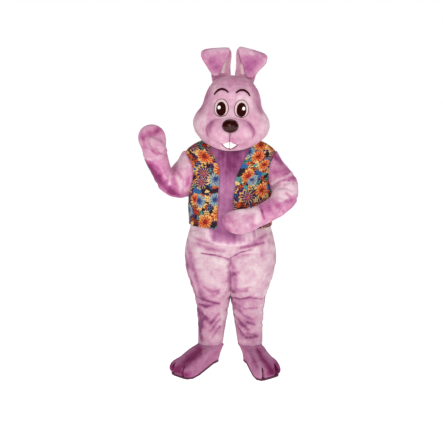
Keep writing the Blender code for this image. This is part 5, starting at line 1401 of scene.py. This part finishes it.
def make_face():
    """The muzzle, nose, eyes, brows, teeth and mouth line."""
    x, rise = muzzle_edge(96)
    shares = np.cos(np.linspace(0, QUARTER, 22))[:, None]
    x, height = shares * x, MUZZLE["height"] + shares * rise
    thickness = np.where(shares == 1, MUZZLE["rim"], muzzle_thickness(x, height))
    thickness = np.maximum(thickness - groove(x, height), MUZZLE["rim"])
    muzzle = patch("muzzle", x, height, FACE_GAP, thickness, face_plush, "muzzle_pads", tone=0.25,
                   spots=MUZZLE_CREASE_SHADE_SPOTS)
    x, height, shares = disc(NOSE, 0, rows=14)
    patch("nose", x, height, FACE_GAP * 2 + muzzle_thickness(x, height),
          NOSE["rim"] + NOSE["dome"] * np.sqrt(1 - shares ** 2), nose_vinyl, "nose_button")
    for name, mirror in (("right", -1), ("left", 1)):
        make_eye(name, mirror)
        line = smooth_line([(mirror * x, height) for x, height in BROW], 40)
        radii = 1.5 + 5.2 * np.sin(np.linspace(0.1, math.pi - 0.1, 40)) ** 0.45
        tube("brow_" + name + "_felt", on_face(line[:, 0], line[:, 1], FACE_GAP + 5.0), radii, brow_felt,
             "brow_" + name)
        make_tooth(name, mirror)
    mouth = smooth_line(MOUTH, 40)
    radii = 3.4 * np.sin(np.linspace(0.15, math.pi - 0.15, 40)) ** 0.5
    tube("mouth_line", on_face(mouth[:, 0], mouth[:, 1], 3.0), radii, mouth_cord, slot="brown_vinyl")
    places = np.linspace(*MUZZLE_SPLIT, 16)
    lift = muzzle_thickness(0, places) - groove(0, places) + FACE_GAP + 1
    tube("muzzle_split_line", on_face(0 * places, places, np.maximum(lift, 3)), 2.0, seam_cord,
         slot="brown_vinyl")


def make_eye(name, mirror):
    """A felt eye white with its dark outline, a pupil and a glint, one on the other."""
    x, height, shares = disc(EYE, mirror, slant=0.12, wide=0.06)
    patch("eye_white_" + name, x, height, FACE_GAP, FELT * (0.7 + 0.9 * np.sqrt(1 - shares ** 2)), eye_felt)
    tube("eye_outline_" + name, on_face(x[0], height[0], FACE_GAP + 1.0), 2.4, brow_felt,
         slot="brown_vinyl", closed=True)
    x, height, shares = disc(PUPIL, mirror, wide=0.14)
    patch("pupil_" + name, x, height, FACE_GAP * 2 + FELT * 1.5, FELT * (0.3 + np.sqrt(1 - shares ** 2)),
          pupil_felt)
    x, height, shares = disc(GLINT, mirror, 24, 4)
    patch("glint_" + name, x, height, FACE_GAP * 3 + FELT * 2.6, FELT * 0.4 * np.sqrt(1.05 - shares ** 2),
          tooth_felt)


def make_tooth(name, mirror):
    """A padded felt tooth that hangs from under the muzzle."""
    inner, outer = TOOTH["inner"], TOOTH["outer"]
    across = np.linspace(inner, outer, 14)
    share = (1 - (across / MUZZLE["half_width"]) ** MUZZLE["power"]) ** (1 / MUZZLE["power"])
    top = MUZZLE["height"] - MUZZLE["below"] * share * muzzle_notch(across) - 3 * FACE_GAP
    tip = TOOTH["tip"] + 1.4 * TOOTH["rise"] * (across / outer) ** 1.7
    rows = np.linspace(0, 1, 12)[:, None]
    height = tip + (top - tip) * rows
    x = np.broadcast_to(mirror * across, height.shape)
    round_off = np.sqrt(np.clip(1 - (2 * (across - inner) / (outer - inner) - 1) ** 6, 0.08, 1))
    thickness = TOOTH["thickness"] * round_off * np.clip(0.45 + rows * 2, 0, 1)
    tooth = patch("tooth_" + name, x[:, ::-mirror], height[:, ::-mirror], FACE_GAP, thickness[:, ::-mirror],
                  tooth_felt, wrap=False)


def ear_ring(side, width_share, tilt_share):
    """Sections of an ear, up from the crown, over its fold and down in front."""
    middles = EAR[:, 0:3] * np.array([side, 1, 1]) + np.array([EAR_MIDDLE, 0, 0])
    ways = unit(np.gradient(middles, axis=0))
    half_widths, half_thicknesses = EAR[:, 3] * width_share, EAR[:, 4] / 2
    tilts = np.radians(EAR[:, 5]) * tilt_share

    def ring(k, angles):
        across = np.array([math.cos(tilts[k]), 0, -side * math.sin(tilts[k])])
        off = unit(np.cross(ways[k], across))
        c, s = np.cos(angles), np.sin(angles)
        raised = half_thicknesses[k] * np.sign(s) * np.abs(s) ** EAR_FULLNESS
        return middles[k] + (half_widths[k] * c)[:, None] * across + raised[:, None] * off
    return ring


def crown_height(x, y):
    """The height of the upright head's top over each x and y."""
    samples = skull.points(np.arctan2(x, -y)[..., None], np.linspace(skull.marks[-6], skull.marks[-1], 160))
    reach = np.hypot(samples[..., 0], samples[..., 1])
    pick = np.abs(reach - np.hypot(x, y)[..., None]).argmin(axis=-1)
    return np.take_along_axis(samples[..., 2], pick[..., None], axis=-1)[..., 0]


def make_ears():
    """Two padded ears, folded over at half height, each with its lining."""
    for name, settings in EARS.items():
        loft = Loft(ear_ring(*settings), len(EAR))
        turns, rows = np.linspace(0, TURN, 56, endpoint=False), spaced(0, loft.marks[-1], 76)
        angles, along = np.meshgrid(turns, rows)
        points = loft.points(angles, along)
        base = crown_height(points[..., 0], points[..., 1]) + EAR_GAP
        points[..., 2] += (base - points[..., 2]) * np.clip(1 - along / loft.marks[1], 0, 1)
        faces = capped_cells(points)
        points = place_head(points).reshape(-1, 3)
        # The flaps' tone: painted shade streaks and a paler strip of painted light.
        tones = 0.3 + streak_tones(points, FORWARD, EAR_SHADING_STREAKS[name])
        ear = make_piece("ear_" + name + "_plush", points, faces, ear_plush, tones)
        dress(ear, "ear_" + name)
        make_lining(name, loft)


def make_lining(name, loft):
    """The pale lining on the inside of an ear's fold; its deep base tone is painted shade inside the fold.
    """
    low, high = np.radians(LINING_TURNS)
    first, last = loft.marks[list(LINING_SECTIONS)]
    angles, along = np.meshgrid(spaced(low, high, 26), spaced(first, last, 60))
    out = loft.normals(angles, along)
    outer = place_head(loft.points(angles, along) + out * (LINING_GAP + LINING_WALL))
    tones = streak_tones(outer.reshape(-1, 3), FORWARD, LINING_SHADING_STREAKS[name]).reshape(angles.shape)
    make_cloth("ear_lining_" + name + "_velour", Sheet(outer, turned(out), tones=tones), lining_plush,
               "ear_lining_" + name, wall=LINING_WALL, tone=0.68, dip=1.2)


make_trunk()
make_legs()
make_vest()
make_arms()
make_feet()
make_head()
make_face()
make_ears()
for name in FEET:
    frame["nodes"]["sole_" + name].material_slots[0].material = sole_rubber

# ---------------------------------------------------------------- studio

def make_floor():
    """A white floor that glows a little, so that it meets the white around it."""
    mesh = bpy.data.meshes.new("floor")
    corners = [(x * FLOOR_REACH, y * FLOOR_REACH, -SHOULDER_HEIGHT * METRES)
               for x, y in ((-1, -1), (1, -1), (1, 1), (-1, 1))]
    mesh.from_pydata(corners, [], [(0, 1, 2, 3)])
    material, tree, shader = new_material("white_studio_floor")
    connect(tree, shader, {"Base Color": hex_colour("#fafafa"), "Roughness": 0.9,
                           "Emission Color": WHITE, "Emission Strength": 0.7})
    mesh.materials.append(material)
    placed("floor", mesh)


def make_lights():
    """Three lamps in front of the costume and a white world."""
    for name, where, aim_height, size, power in (
            ("key", (-1.0, -4.6, 2.6), -0.4, (2.4, 2.4), 80),
            ("fill", (2.6, -3.4, 0.6), -0.4, (2.4, 2.4), 26),
            ("front", (0.0, -4.0, 0.4), -0.35, (0.45, 0.25), 26)):
        light = bpy.data.lights.new(name, "AREA")
        light.shape = "RECTANGLE"
        light.size, light.size_y = size
        light.energy = power
        lamp = placed(name, light)
        lamp.location = where
        way = Vector((0, 0, aim_height)) - Vector(where)
        lamp.rotation_euler = way.to_track_quat("-Z", "Y").to_euler()
    world = bpy.data.worlds.new("studio")
    bpy.context.scene.world = world
    world.use_nodes = True
    tree = world.node_tree
    path = add(tree, "ShaderNodeLightPath")
    # White to the camera, dimmer as light, and dimmest in glossy reflections.
    seen = add(tree, "ShaderNodeMath", {"operation": "MULTIPLY_ADD"},
               {0: path.outputs["Is Camera Ray"], 1: 0.62, 2: 0.38})
    mirrored = add(tree, "ShaderNodeMath", {"operation": "MULTIPLY_ADD"},
                   {0: path.outputs["Is Glossy Ray"], 1: -0.33, 2: seen})
    connect(tree, tree.nodes["Background"], {"Color": WHITE, "Strength": mirrored})


def make_camera():
    """The camera, a little over shoulder height, tilted down."""
    camera = bpy.data.cameras.new("camera")
    camera.sensor_width, camera.lens = CAMERA_SENSOR, CAMERA_LENS
    holder = placed("camera", camera)
    holder.location = CAMERA_PLACE
    holder.rotation_euler = (QUARTER - CAMERA_TILT, 0, 0)
    bpy.context.scene.camera = holder


make_floor()
make_lights()
make_camera()
bpy.context.scene.view_settings.view_transform = "Standard"
